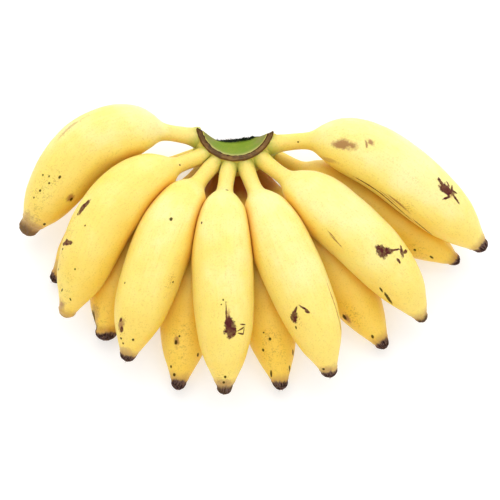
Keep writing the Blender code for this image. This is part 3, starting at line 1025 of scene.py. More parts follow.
@dataclass(frozen=True)
class CrownFinish:
    """The look of the crown: cut green flesh, a dried double lip, and a dark torn edge."""

    flesh: Colour = (0.18, 0.28, 0.022)
    fibre: Colour = (0.31, 0.35, 0.03)
    olive: Colour = (0.30, 0.25, 0.08)
    # Dark green: painted shade on the cut face, and the dark fibres of the heel.
    shade: Colour = (0.05, 0.085, 0.012)
    cream: Colour = (0.52, 0.46, 0.17)
    wall: Colour = (0.72, 0.60, 0.13)
    green: Colour = (0.34, 0.38, 0.05)
    lip: Colour = (0.165, 0.080, 0.030)
    lip_light: Colour = (0.31, 0.185, 0.075)
    lip_dark: Colour = (0.060, 0.024, 0.010)
    blotch: Colour = (0.11, 0.075, 0.05)
    bark: Colour = (0.17, 0.115, 0.05)
    torn: Colour = (0.010, 0.016, 0.008)
    relief: float = 0.00030
    depth: float = 0.06
    depth_reach: float = 0.003
    depth_tint: Colour = (0.6, 1.0, 0.2)

    def build(self, name: str) -> bpy.types.Material:
        """Makes the material.

        Args:
            name: its name.

        Returns:
            The material.
        """
        tree = FinishTree(name)
        place = tree.place()
        grain = tree.painted_vector("grain")
        fine = tree.noise(place, 600.0, 4.0, 0.6)
        patch = tree.noise(place, 110.0, 3.0)
        fibre = tree.noise(grain, 1.1, 4.0, 0.65)
        cut = tree.painted("cut")
        face = tree.blend((fibre * 0.9 + patch * 0.5 - 0.35).ramp(0.15, 0.85), self.flesh, self.fibre)
        horn = tree.painted("horn") + (patch - 0.5) * 0.4
        face = tree.blend(horn.ramp(0.45, 0.95) * 0.75, face, self.olive)
        # Painted shade: the cut face is painted darker towards its torn back edge, the far side of the
        # scoop.
        low = tree.painted("torn") + (fibre - 0.5) * 0.5
        face = tree.blend(low.ramp(-0.1, 0.6) * 0.8, face, self.shade)
        pale = tree.painted("pale") + (fine - 0.5) * 0.3
        face = tree.blend(pale.ramp(0.1, 1.1) * 0.8, face, self.cream)
        colour = tree.blend(cut, self.wall, face)
        under = tree.painted("heel") + (fibre - 0.5) * 0.9
        heel = tree.blend(fibre.ramp(0.4, 0.7), self.bark, self.shade)
        colour = tree.blend(under.ramp(0.3, 0.9), colour, heel)
        groove = (tree.painted("groove") + (patch - 0.5) * 0.5).ramp(0.3, 0.9)
        colour = tree.blend(groove * 0.8, colour, self.green)
        band = tree.noise(grain, 0.8, 3.0, 0.6) - 0.5
        across = tree.painted("lip_top") + (fine - 0.5) * 0.12 + band * 0.20
        lips = tree.blend(across.ramp(0.30, 0.50) * across.ramp(0.78, 0.62), self.lip, self.lip_light)
        lips = tree.blend(across.ramp(0.66, 0.84), lips, self.lip_dark)
        lips = tree.blend((patch + fine * 0.3).ramp(0.66, 0.84) * 0.65, lips, self.blotch)
        lips = tree.blend((tree.painted("horn") + patch - 0.5).ramp(0.35, 1.0) * 0.6, lips, self.lip_dark)
        lip = (tree.painted("lip") + (fine - 0.5) * 0.5 + band * 0.4).ramp(0.15, 0.90)
        colour = tree.blend(lip, colour, lips)
        torn = (tree.painted("torn") + (fine - 0.5) * 0.5 + (fibre - 0.5) * 0.6).ramp(0.40, 0.70)
        colour = tree.blend(torn, colour, self.torn)
        dried = lip.either(torn)
        tree.vary("Base Color", colour)
        tree.vary("Roughness", 0.50 + fine * 0.2 + dried * 0.2)
        tree.bump(fibre * 0.8 + fine * (0.4 + dried * 1.6), self.relief)
        tree.fix({
            "Specular IOR Level": BARE_SHINE,
            "Subsurface Weight": self.depth,
            "Subsurface Radius": self.depth_tint,
            "Subsurface Scale": self.depth_reach,
        })
        return tree.material


class GeometryTree(NodeTree):
    """A Geometry Nodes tree under construction, to be run on the mesh of a carrier."""

    def __init__(self, name: str, sockets: tuple[tuple[str, str], ...]) -> None:
        """Opens the tree with its named inputs.

        Args:
            name: its name.
            sockets: the names and kinds of its inputs.
        """
        super().__init__(bpy.data.node_groups.new(name, "GeometryNodeTree"))
        for label, kind in sockets:
            self.tree.interface.new_socket(label, in_out="INPUT", socket_type=f"NodeSocket{kind}")
        self.tree.interface.new_socket("Made", in_out="OUTPUT", socket_type="NodeSocketGeometry")
        self.given = self.node("NodeGroupInput", {}, {}).outputs

    def read(self, name: str, kind: str = "FLOAT") -> bpy.types.NodeSocket:
        """An attribute that the points carry."""
        made = self.node("GeometryNodeInputNamedAttribute", {"data_type": kind}, {"Name": name})
        return made.outputs["Attribute"]

    def number(self, name: str) -> Value:
        """A number that the points carry."""
        return Value(self, self.read(name))

    def kept(
        self, shape: bpy.types.NodeSocket, name: str, what: object, kind: str = "FLOAT",
    ) -> bpy.types.NodeSocket:
        """Stores an attribute on the points.

        Args:
            shape: the geometry.
            name: the attribute's name.
            what: its value.
            kind: its type.

        Returns:
            The geometry that carries it.
        """
        settings = {"data_type": kind, "domain": "POINT"}
        inputs = {"Geometry": shape, "Name": name, "Value": what}
        return self.node("GeometryNodeStoreNamedAttribute", settings, inputs).outputs[0]

    def vectors(self, operation: str, *operands: object) -> bpy.types.Node:
        """Adds a Vector Math node over the operands."""
        return self.node("ShaderNodeVectorMath", {"operation": operation}, dict(enumerate(operands)))

    def scaled(self, vector: bpy.types.NodeSocket, factor: Value) -> bpy.types.NodeSocket:
        """A vector times a number."""
        made = self.node("ShaderNodeVectorMath", {"operation": "SCALE"}, {0: vector, "Scale": factor})
        return made.outputs[0]

    def finished(self, shape: bpy.types.NodeSocket) -> None:
        """Ends the tree: real geometry, in the finish that it was given."""
        real = self.node("GeometryNodeRealizeInstances", {}, {"Geometry": shape})
        inputs = {"Geometry": real.outputs[0], "Material": self.given["Finish"]}
        dressed = self.node("GeometryNodeSetMaterial", {}, inputs)
        self.node("NodeGroupOutput", {}, {0: dressed.outputs[0]})

    def grown(
        self, carried: PieceMesh, edges: list[tuple[int, int]], given: dict[str, object],
    ) -> bpy.types.Mesh:
        """Runs the tree.

        Args:
            carried: the points that it works on, with what is painted on them.
            edges: the edges between them.
            given: the tree's inputs, by name.

        Returns:
            The result as a plain mesh.
        """
        data = bpy.data.meshes.new("carrier")
        data.from_pydata(in_place(carried.points).tolist(), edges, [])
        paint(data, carried.values)
        carrier = bpy.data.objects.new("carrier", data)
        bpy.context.scene.collection.objects.link(carrier)
        modifier = carrier.modifiers.new("growth", "NODES")
        modifier.node_group = self.tree
        for item in self.tree.interface.items_tree:
            if item.item_type == "SOCKET" and item.in_out == "INPUT" and item.name in given:
                modifier[item.identifier] = given[item.name]
        ready = carrier.evaluated_get(bpy.context.evaluated_depsgraph_get())
        made = bpy.data.meshes.new_from_object(ready)
        carrier.modifiers.remove(modifier)
        bpy.data.objects.remove(carrier)
        return made


class FingerTree(GeometryTree):
    """Sweeps a ring along a finger's centre line, and raises the ridges and lumps of its peel."""

    RING = 0.5 * MM

    def __init__(self) -> None:
        """Builds the tree."""
        sizes = (
            "Ridge Height", "Roll", "Lump Height", "Lump Size", "Cap Roughness", "Cap Size", "Seed",
        )
        super().__init__("banana_finger", (
            ("Path", "Geometry"), ("Sides", "Int"), ("Ridges", "Int"),
            *((name, "Float") for name in sizes), ("Finish", "Material"),
        ))
        given = {name: Value(self, self.given[name]) for name in ("Ridges", *sizes)}
        place = self.node("GeometryNodeInputPosition", {}, {}).outputs[0]
        line = self.node("GeometryNodeMeshToCurve", {}, {"Mesh": self.given["Path"]}).outputs[0]
        line = self.kept(line, "centre", place, "FLOAT_VECTOR")
        inputs = {"Resolution": self.given["Sides"], "Radius": self.RING}
        ring = self.node("GeometryNodeCurvePrimitiveCircle", {}, inputs)
        inputs = {"Curve": line, "Profile Curve": ring.outputs[0], "Fill Caps": True}
        tube = self.node("GeometryNodeCurveToMesh", {}, inputs).outputs[0]
        centre = self.read("centre", "FLOAT_VECTOR")
        away = self.vectors("SUBTRACT", place, centre).outputs[0]
        away = self.vectors("NORMALIZE", away).outputs[0]
        on_side, on_top = (
            Value(self, self.vectors("DOT_PRODUCT", away, self.read(name, "FLOAT_VECTOR")).outputs["Value"])
            for name in ("side", "top")
        )
        tube = self.kept(tube, "around", on_side.maths("ARCTAN2", on_side, on_top))
        tube = self.kept(tube, "away", away, "FLOAT_VECTOR")
        around, reach = self.number("around"), self.number("reach")
        wave = (around - given["Roll"]) * given["Ridges"] * 0.5
        wave = wave.maths("SINE", wave)
        dip = (wave * wave + RIDGE_ROUNDING) ** 0.5
        ridge = (1.0 - dip - RIDGE_MEAN) * given["Ridge Height"] * self.number("ridged") + 1.0
        away = self.read("away", "FLOAT_VECTOR")
        peel = self.vectors("ADD", centre, self.scaled(away, reach)).outputs[0]
        shift = self.node("ShaderNodeCombineXYZ", {}, {0: given["Seed"]}).outputs[0]
        shifted = self.vectors("ADD", peel, shift).outputs[0]
        lump = self.noise(shifted, self.per_metre(given["Lump Size"]), 1.0) - 0.5
        crumb = self.noise(shifted, self.per_metre(given["Cap Size"]), 2.0) - 0.5
        lumps = lump * given["Lump Height"] * self.number("lumped")
        crumbs = crumb * given["Cap Roughness"] * self.number("capped")
        grown = reach * ridge + (lumps + crumbs)
        moved = self.vectors("ADD", centre, self.scaled(away, grown)).outputs[0]
        shape = self.node("GeometryNodeSetPosition", {}, {"Geometry": tube, "Position": moved})
        self.finished(shape.outputs[0])

    @staticmethod
    def per_metre(size: Value) -> Value:
        """How many features of a size, in metres, go into a metre."""
        return size.maths("DIVIDE", 1.0, size)


@dataclass
class BananaFinger:
    """One dressed banana, from inside the crown's wall to its dried flower end.

    Attributes:
        spine: its centre line.
        tree: the Geometry Nodes tree that sweeps it.
        rings: how many rings of points it has.
        sides: how many points a ring has.
        start: the share of its length where it begins, inside the crown's wall.
        root_flare: how much wider it is at its root.
        flare_reach: how far along that flare fades.
        half_gap: half the gap that is left to a neighbour.
        lump: the height of its lumps.
        cap_roughness: the height of the crumbs on its dried end.
        press_steps: how many halvings find where a neighbour presses.
        crook_reach: how far along the green at its root fades.
        nook_shade_reach: how many of a neighbour's radii away the painted orange shade between fingers
            begins.
        grain_stretch: how much slower the grain changes along the finger than round it.
        grain_shift: moves each finger's grain, for each degree of its root.
        lump_shift: moves each finger's lumps, in metres for each degree of its root.
        soft_passes: how often the edge of a pressed place is softened.
        contact_shade_passes: how often the painted shade of a pressed place is softened.
        tip_crowding: how much closer together the rings stand at its flower end.
        cap_rise: the shares of its length between which the dried end takes its own width.
        cap_lip: the height of the lip where the dried end begins, and its width as a share.
        tip_step: the share of its length between the rings that close its flower end.
        tip_rings: those rings' widths as shares, and how far each is pushed on.
        working: what its points carry only until it is built.
    """

    spine: Spine
    tree: FingerTree
    rings: int = 210
    sides: int = 84
    start: float = -0.014
    root_flare: float = 1.2
    flare_reach: float = 2.4
    half_gap: float = 0.08
    lump: float = 1.3
    cap_roughness: float = 1.5
    press_steps: int = 14
    crook_reach: float = 8.0
    nook_shade_reach: float = 1.45
    grain_stretch: float = 0.09
    grain_shift: float = 37.0
    lump_shift: float = 0.37
    soft_passes: int = 6
    contact_shade_passes: int = 14
    tip_crowding: float = 0.30
    cap_rise: tuple[float, float] = (0.935, 0.970)
    cap_lip: tuple[float, float] = (0.25, 0.004)
    tip_step: float = 1e-4
    tip_rings: tuple[tuple[float, float], ...] = (
        (0.88, 0.14), (0.74, 0.05), (0.55, -0.30), (0.30, -0.55), (0.04, -0.60),
    )
    working: tuple[str, ...] = (
        "reach", "ridged", "lumped", "capped", "side", "top", "centre", "away", "share", "around",
    )

    def shares(self) -> np.ndarray:
        """Where the rings stand along the finger, closest together at its flower end."""
        t = np.linspace(0.0, 1.0, self.rings)
        crowded = t + self.tip_crowding * t * (1 - t) ** 1.2 * smooth_ramp(0.0, 0.7, t)
        return self.start + (1 - self.start) * crowded

    def reach(self, shares: np.ndarray) -> np.ndarray:
        """How far the plain peel stands off: flared at the root, lipped at the dried end."""
        finger = self.spine.finger
        travelled = np.maximum(shares, 0.0) * self.spine.length
        cap = 1 + (finger.cap - 1) * smooth_ramp(*self.cap_rise, shares)
        flare = self.root_flare * np.exp(-travelled / self.flare_reach)
        height, width = self.cap_lip
        lip = height * np.exp(-(((shares - finger.cap_from) / width) ** 2))
        return self.spine.radius(shares) * cap + flare + lip

    def swept(self, finish: bpy.types.Material) -> tuple[bpy.types.Mesh, np.ndarray]:
        """Runs the Geometry Nodes tree along the centre line.

        Args:
            finish: the peel's material.

        Returns:
            The closed mesh, and how far each ring is pushed on to dimple the flower end.
        """
        shares = self.shares()
        shrink, push = np.array(self.tip_rings).T
        shares = np.concatenate([shares, 1 + np.arange(1, len(push) + 1) * self.tip_step])
        push = np.concatenate([np.zeros(self.rings), push])
        centres, travel = self.spine.at(shares)
        side = np.cross(travel, (0.0, 0.0, 1.0))
        side /= np.linalg.norm(side, axis=1)[:, None]
        first, last = RIDGE_SHARES
        on_ridges = np.clip((shares - first) / (last - first), 0.0, 1.0)
        shrink = np.concatenate([np.ones(self.rings), shrink])
        path = PieceMesh(centres, [], {
            "share": shares,
            "reach": self.reach(shares) * shrink * MM,
            "side": side,
            "top": np.cross(side, travel),
            "ridged": np.sin(math.pi * on_ridges) ** 0.5,
            "lumped": smooth_ramp(0.10, 0.25, shares) * (1 - 0.6 * smooth_ramp(0.85, 0.95, shares)),
            "capped": smooth_ramp(0.945, 0.975, shares) * shrink,
        })
        data = self.tree.grown(path, [(i, i + 1) for i in range(len(shares) - 1)], {
            "Sides": self.sides,
            "Ridges": RIDGES,
            "Ridge Height": RIDGE_HEIGHT,
            "Roll": math.radians(self.spine.finger.roll_deg),
            "Lump Height": self.lump * MM,
            "Lump Size": LUMP_SPACING * MM,
            "Cap Roughness": self.cap_roughness * MM,
            "Cap Size": CAP_SPACING * MM,
            "Seed": self.lump_shift * self.spine.finger.root_deg,
            "Finish": finish,
        })
        return data, push

    def pressed(
        self, base: np.ndarray, ways: np.ndarray, reach: np.ndarray, others: list[Spheres],
    ) -> np.ndarray:
        """Shortens each reach to where a neighbour presses back, midway between the two.

        Args:
            base: the centre of each point's ring.
            ways: the direction from there to the point.
            reach: the free reach of each point.
            others: the neighbours' spheres.

        Returns:
            The reach of each point, none longer than before.
        """
        own = self.spine.spheres()

        def slack(index: np.ndarray, tried: np.ndarray) -> np.ndarray:
            probes = base[index] + ways[index] * (tried + self.half_gap)[:, None]
            back = np.min([nearness(probes, other) for other in others], axis=0)
            return back - nearness(probes, own)

        held = np.flatnonzero(slack(np.arange(len(reach)), reach) < 0)
        low, high = np.zeros(len(held)), reach[held].copy()
        for _ in range(self.press_steps):
            middle = (low + high) / 2
            good = slack(held, middle) >= 0
            low, high = np.where(good, middle, low), np.where(good, high, middle)
        result = reach.copy()
        result[held] = low
        return result

    @staticmethod
    def spread(dent: np.ndarray, passes: int) -> np.ndarray:
        """Softens what is painted ring by ring, and never lowers it."""
        soft = dent
        for _ in range(passes):
            soft = (soft + np.roll(soft, 1, 1) + np.roll(soft, -1, 1)) / 3
            inner = (soft[:-2] + soft[1:-1] + soft[2:]) / 3
            soft = np.vstack([soft[:1], inner, soft[-1:]])
        return np.maximum(dent, soft)

    def build(self, others: list[Spheres]) -> bpy.types.Object:
        """Makes the dressed finger in place of its solid.

        Args:
            others: the other fingers' spheres.

        Returns:
            The piece.
        """
        finger, length = self.spine.finger, self.spine.length
        data, push = self.swept(PeelFinish().build(self.spine))
        share, around = read_back(data, "share"), read_back(data, "around")
        away, centre = read_back(data, "away", 3), read_back(data, "centre", 3)
        base = centre / MM - np.array(PLAN_SHIFT)
        free = np.linalg.norm(read_back(data, "position", 3) - centre, axis=1) / MM
        rows = (len(push), self.sides)
        dent = free - self.pressed(base, away, free, others)
        soft = self.spread(dent.reshape(rows), self.soft_passes)
        _, travel = self.spine.at(share)
        pushed = travel * np.repeat(push, self.sides)[:, None]
        shell = base + away * (free - soft.ravel())[:, None] + pushed
        shell[:, 2] = np.maximum(shell[:, 2], TABLE_CLEARANCE)
        data.vertices.foreach_set("co", in_place(shell).astype(np.float32).ravel())
        radius, travelled = self.spine.radius(share), share * length
        across = (np.cos(around) * radius, np.sin(around) * radius)
        grain = np.stack([travelled * self.grain_stretch, *across], axis=1)
        flank = np.abs(np.sin(around / 2)) ** 0.7
        near_crown = np.exp(-np.maximum(share, 0.0) * length / self.crook_reach)
        # Painted shade in the creases where neighbours press.
        contact_shade = self.spread(smooth_ramp(0.0, 0.9, dent).reshape(rows), self.contact_shade_passes)
        paint(data, {
            "along": share,
            "crook": near_crown * (0.50 + 0.50 * flank),
            "contact_shade": contact_shade.ravel(),
            "nook_shade": self.nook_shade(shell, share, others),
            # Painted shade: how far the peel faces away from the key light.
            "painted_shade_side": smooth_ramp(0.72, -0.10, away @ np.array(LIT_WAY)),
            "grain": grain + self.grain_shift * finger.root_deg,
        })
        self.lay_out(data, travelled * MM, around, radius * MM)
        for name in self.working:
            if name in data.attributes:
                data.attributes.remove(data.attributes[name])
        made = riding(f"dressed_{finger.name}", data)
        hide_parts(finger.name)
        return made

    def nook_shade(self, shell: np.ndarray, share: np.ndarray, others: list[Spheres]) -> np.ndarray:
        """How deep each point lies between neighbours, where painted orange shade falls on the peel.

        Args:
            shell: the points.
            share: each point's place along the finger.
            others: the neighbours' spheres.

        Returns:
            A share for each point, 1 beside a neighbour.
        """
        back = np.min([nearness(shell, other) for other in others], axis=0)
        return smooth_ramp(self.nook_shade_reach, 1.0, back) * smooth_ramp(0.12, 0.24, share)

    @staticmethod
    def lay_out(
        data: bpy.types.Mesh, travelled: np.ndarray, around: np.ndarray, radius: np.ndarray,
    ) -> None:
        """Lays the skin out flat as UVs in metres: along the finger and round it, its seam underneath.

        Args:
            data: the finger's mesh.
            travelled: each point's distance along the finger.
            around: its angle from the top.
            radius: the radius there.
        """
        corner = np.zeros(len(data.loops), np.int32)
        data.loops.foreach_get("vertex_index", corner)
        total = np.zeros(len(data.polygons), np.int32)
        data.polygons.foreach_get("loop_total", total)
        owner = np.repeat(np.arange(len(total)), total)
        turned = around[corner]
        high, low = np.full(len(total), -9.0), np.full(len(total), 9.0)
        np.maximum.at(high, owner, turned)
        np.minimum.at(low, owner, turned)
        turned = turned + 2 * math.pi * ((high - low > math.pi)[owner] & (turned < 0))
        skin = data.uv_layers.new(name="skin")
        flat = np.stack([travelled[corner], turned * radius[corner]], axis=1)
        skin.data.foreach_set("uv", flat.astype(np.float32).ravel())


@dataclass
class Crown:
    """The cut crown: a double dried lip over the stalks, and a scooped green face behind it.

    Attributes:
        sections: how many outlines it is made of, from horn to horn.
        wall_foot: how the wall curves in to the table, as (outward, up).
        rim: the rim's double lip, as (outward, up) from its top.
        cut_start: where the cut face begins, counted from the rim's top.
        cut_back: where the cut face ends, counted back from the crown's middle.
        cut_back_slant: how much further back it ends for each millimetre to the right.
        cut_back_height: how high it ends.
        cut_hollow: how deep it is scooped.
        back_spread: how wide its end is, as a share of the rim.
        back_lean: how far the heel leans out, halfway down and at its foot.
        horn_taper: how much thinner the rim is at its two ends.
        horn_lift: how far the wall's foot rises there.
        horn_curve: how late it rises.
        heel_lift_share: how much of that the heel rises too.
        flat_share: how much of the arc lies flat on the table.
        stalk_radius: the radius of a stalk that the wall swells to meet.
        web_reach: how far from a stalk the swelling fades.
        web_depth: how far it swells.
        torn_height: how far the torn edge stands up.
        torn_from: the lowest place that is torn.
        torn_coarse: the spacing and seed of its large steps.
        torn_fine: the spacing and seed of its small ones.
        crumple: the spacing and seed of the lips' crumples.
        crumple_height: how high those are.
    """

    sections: int = 260
    wall_foot: tuple[tuple[float, float], ...] = ((-5.0, 0.0), (-1.5, 2.5), (0.0, 6.5))
    rim: tuple[tuple[float, float], ...] = (
        (-1.3, -3.6), (-1.2, -2.4), (-1.6, -1.2), (-2.2, -0.5), (-2.7, -0.8), (-3.2, -0.2),
        (-3.9, 0.0), (-4.6, -0.6), (-5.0, -1.6),
    )
    cut_start: tuple[float, float] = (-5.6, -2.6)
    cut_back: float = -0.8
    cut_back_slant: float = 0.095
    cut_back_height: float = 11.0
    cut_hollow: float = 3.0
    back_spread: float = 0.46
    back_lean: tuple[float, float] = (0.4, 1.6)
    horn_taper: float = 0.70
    horn_lift: float = 17.0
    horn_curve: float = 2.5
    heel_lift_share: float = 0.3
    flat_share: float = 0.35
    stalk_radius: float = 4.8
    web_reach: float = 2.2
    web_depth: float = 3.0
    torn_height: float = 1.5
    torn_from: float = 6.0
    torn_coarse: tuple[float, int] = (5.0, 7)
    torn_fine: tuple[float, int] = (2.2, 8)
    crumple: tuple[float, int] = (3.4, 9)
    crumple_height: float = 0.16

    def section(self, angle_deg: float) -> tuple[np.ndarray, dict[str, np.ndarray]]:
        """The crown's outline through one place on its rim, from the wall's foot round to the heel.

        Args:
            angle_deg: the angle of that place round the stalk.

        Returns:
            Its points, and the painted values along them.
        """
        first, last = CROWN_ARC_DEG
        to_horn = abs(2 * (angle_deg - first) / (last - first) - 1)
        past_flat = max(to_horn - self.flat_share, 0.0) / (1 - self.flat_share)
        foot = self.horn_lift * past_flat**self.horn_curve
        outward = np.array(flat_direction(angle_deg))
        across = self.back_spread * CROWN_RADIUS * outward[0]
        back = np.array(CROWN_CENTRE) + (across, self.cut_back + self.cut_back_slant * across, 0.0)
        rim_origin = np.array(CROWN_CENTRE) + outward * CROWN_RADIUS

        def at(origin: np.ndarray, outline: np.ndarray) -> np.ndarray:
            return origin + outline[:, :1] * outward + outline[:, 1:] * np.array((0.0, 0.0, 1.0))

        foot_line = at(rim_origin, self.smoothed(np.array(self.wall_foot) + (0.0, foot), 12))
        lean_end, rim_foot = self.rim[0][0], CROWN_RIM_HEIGHT + self.rim[0][1]
        rise = np.linspace(foot + self.wall_foot[-1][1], rim_foot, 44)
        lean = lean_end * smooth_ramp(CROWN_RIM_HEIGHT - 9.0, rim_foot, rise)
        wall = at(rim_origin, np.stack([lean, rise], 1))
        thin = 1 - self.horn_taper * float(smooth_ramp(0.93, 1.0, np.array(to_horn)))
        narrowed = np.array((*self.rim, self.cut_start))
        narrowed[:, 0] = narrowed[0, 0] + (narrowed[:, 0] - narrowed[0, 0]) * thin
        rim = at(rim_origin, self.smoothed(narrowed[:-1] + (0.0, CROWN_RIM_HEIGHT), 40))
        start = at(rim_origin, narrowed[-1:] + (0.0, CROWN_RIM_HEIGHT))[0]
        end = back + (0.0, 0.0, self.cut_back_height)
        t = np.linspace(0.0, 1.0, 48)[:, None]
        hollow = self.cut_hollow * np.linalg.norm((start - end)[:2]) / CROWN_RADIUS * np.sin(math.pi * t)
        face = start + (end - start) * t - hollow * np.array((0.0, 0.0, 1.0))
        heel_foot = self.heel_lift_share * foot
        heel = self.smoothed(np.array([
            (0.0, self.cut_back_height),
            (self.back_lean[0], (self.cut_back_height + heel_foot) / 2),
            (self.back_lean[1], heel_foot),
        ]), 14)
        heel = at(back, heel)[1:]
        under = np.linspace(heel[-1], foot_line[0], 10)[1:-1]
        parts = {
            "foot": foot_line[:-1], "wall": wall, "rim": rim[1:],
            "face": face, "heel": heel, "under": under,
        }
        is_part, share = self.labelled(parts)
        horn = np.full(len(share), to_horn)
        torn_face = is_part["face"] * smooth_ramp(0.72, 0.95, share)
        torn_heel = is_part["heel"] * smooth_ramp(0.75, 0.15, share)
        painted = {
            "cut": is_part["face"] + is_part["heel"] * 0.6,
            "lip": is_part["rim"] * smooth_ramp(0.0, 0.32, share) * smooth_ramp(1.0, 0.94, share),
            "lip_top": is_part["rim"] * share,
            "pale": is_part["face"] * np.exp(-share / 0.11) * smooth_ramp(0.95, 0.45, horn),
            "torn": torn_face + torn_heel,
            "heel": is_part["heel"] + is_part["under"],
            "down": is_part["face"] * share,
            "wall": is_part["wall"] * smooth_ramp(1.0, 0.9, share) * smooth_ramp(0.0, 0.1, share),
            "horn": horn,
        }
        return np.vstack(list(parts.values())), painted

    @staticmethod
    def labelled(parts: dict[str, np.ndarray]) -> tuple[dict[str, np.ndarray], np.ndarray]:
        """Says for each point of an outline which part it belongs to, and how far along that part.

        Args:
            parts: the outline's parts in order.

        Returns:
            A 0 or 1 for each part and point, and the shares along the parts.
        """
        label = np.concatenate([np.full(len(part), k) for k, part in enumerate(parts.values())])
        share = np.concatenate([np.linspace(0, 1, len(part)) for part in parts.values()])
        return {name: (label == k).astype(float) for k, name in enumerate(parts)}, share

    @staticmethod
    def smoothed(points: np.ndarray, count: int) -> np.ndarray:
        """A smooth line of count points through a few."""
        knots = Spine.shares_of_length(points)
        t = np.linspace(0.0, 1.0, count)
        return np.stack([curve_through(tuple(zip(knots, points[:, k])), t) for k in (0, 1)], 1)

    def build(self, spines: list[Spine]) -> bpy.types.Object:
        """Makes the dressed crown in place of its solid.

        Args:
            spines: the fingers that grow from it.

        Returns:
            The piece.
        """
        angles = np.linspace(*CROWN_ARC_DEG, self.sections)
        rows = [self.section(angle) for angle in angles]
        points = np.stack([row[0] for row in rows])
        painted = {key: np.stack([row[1][key] for row in rows]) for key in rows[0][1]}
        turn = np.radians(angles)[:, None]
        out = np.stack([np.cos(turn), np.sin(turn), np.zeros_like(turn)], -1)
        web = self.webs(points, spines) * painted["wall"]
        points += out * (web * self.web_depth)[..., None]
        flat = points.reshape(-1, 3)
        self.roughen(flat, (painted["torn"] * painted["cut"]).ravel(), painted["lip"].ravel())
        count = points.shape[1]
        faces, ends = self.skinned(count)
        extra = np.stack([flat[end].mean(axis=0) for end in ends])
        values = {key: value.ravel() for key, value in painted.items() if key not in ("down", "wall")}
        values["groove"] = web.ravel()
        values = {key: np.concatenate([value, value[[0, -1]]]) for key, value in values.items()}
        lengthwise = (painted["down"] * 3.0 + painted["lip_top"] * 6.0).ravel()
        around = (turn * CROWN_RADIUS * (1 - 0.85 * (painted["lip_top"] > 0))).ravel()
        grain = np.stack([around, lengthwise, flat[:, 2] * 0.05], 1)
        values["grain"] = np.vstack([grain, grain[[0, -1]]])
        mesh = PieceMesh(np.vstack([flat, extra]), faces, values)
        made = mesh.build("dressed_crown", CrownFinish().build("cut_crown"), "crown")
        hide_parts("crown")
        return made

    def webs(self, points: np.ndarray, spines: list[Spine]) -> np.ndarray:
        """How close the wall is to the stalks that grow from it, where it swells to meet them.

        Args:
            points: the crown's rows of points.
            spines: the fingers.

        Returns:
            A share for each point, 1 on a stalk.
        """
        closeness = np.zeros(points.shape[:2])
        for spine in spines:
            (root,), (way,) = spine.at(np.array([0.0]))
            apart = points - root
            apart = apart - (apart @ way)[..., None] * way
            beyond = np.linalg.norm(apart, axis=-1) - self.stalk_radius * spine.finger.girth
            web = np.exp(-np.maximum(beyond, 0.0) / self.web_reach)
            closeness = 1 - (1 - closeness) * (1 - web)
        return closeness

    def roughen(self, points: np.ndarray, torn: np.ndarray, lip: np.ndarray) -> None:
        """Raises the torn edge in ragged steps and crumples the lips.

        Args:
            points: the crown's points, which are moved.
            torn: how torn each point is.
            lip: how far each point is on a lip.
        """
        ragged = wave_noise(points * (1, 1, 0.3), *self.torn_coarse)
        ragged = ragged + 0.6 * wave_noise(points, *self.torn_fine)
        torn = torn * (points[:, 2] > self.torn_from)
        across = points[:, 0]
        stand = 0.45 + 0.95 * smooth_ramp(-1.0, 1.5, across) * smooth_ramp(12.5, 9.5, across)
        points[:, 2] += torn * stand * (self.torn_height + ragged * 0.7)
        crumpled = wave_noise(points, *self.crumple)
        points += lip[:, None] * crumpled[:, None] * self.crumple_height
        points[:, 2] = np.maximum(points[:, 2], TABLE_CLEARANCE)

    def skinned(self, count: int) -> tuple[list[tuple[int, ...]], list[np.ndarray]]:
        """Joins the sections' points with faces, and closes both ends round a middle point each.

        Args:
            count: how many points a section has.

        Returns:
            The faces, and the numbers of the points round each end.
        """
        faces = []
        for i in range(self.sections - 1):
            here, there = i * count, (i + 1) * count
            for k in range(count):
                after = (k + 1) % count
                faces.append((here + k, there + k, there + after, here + after))
        ends = [np.arange(count), (self.sections - 1) * count + np.arange(count)[::-1]]
        for n, end in enumerate(ends):
            pole = self.sections * count + n
            faces += [(int(end[k]), int(end[(k + 1) % count]), pole) for k in range(count)]
        return faces, ends


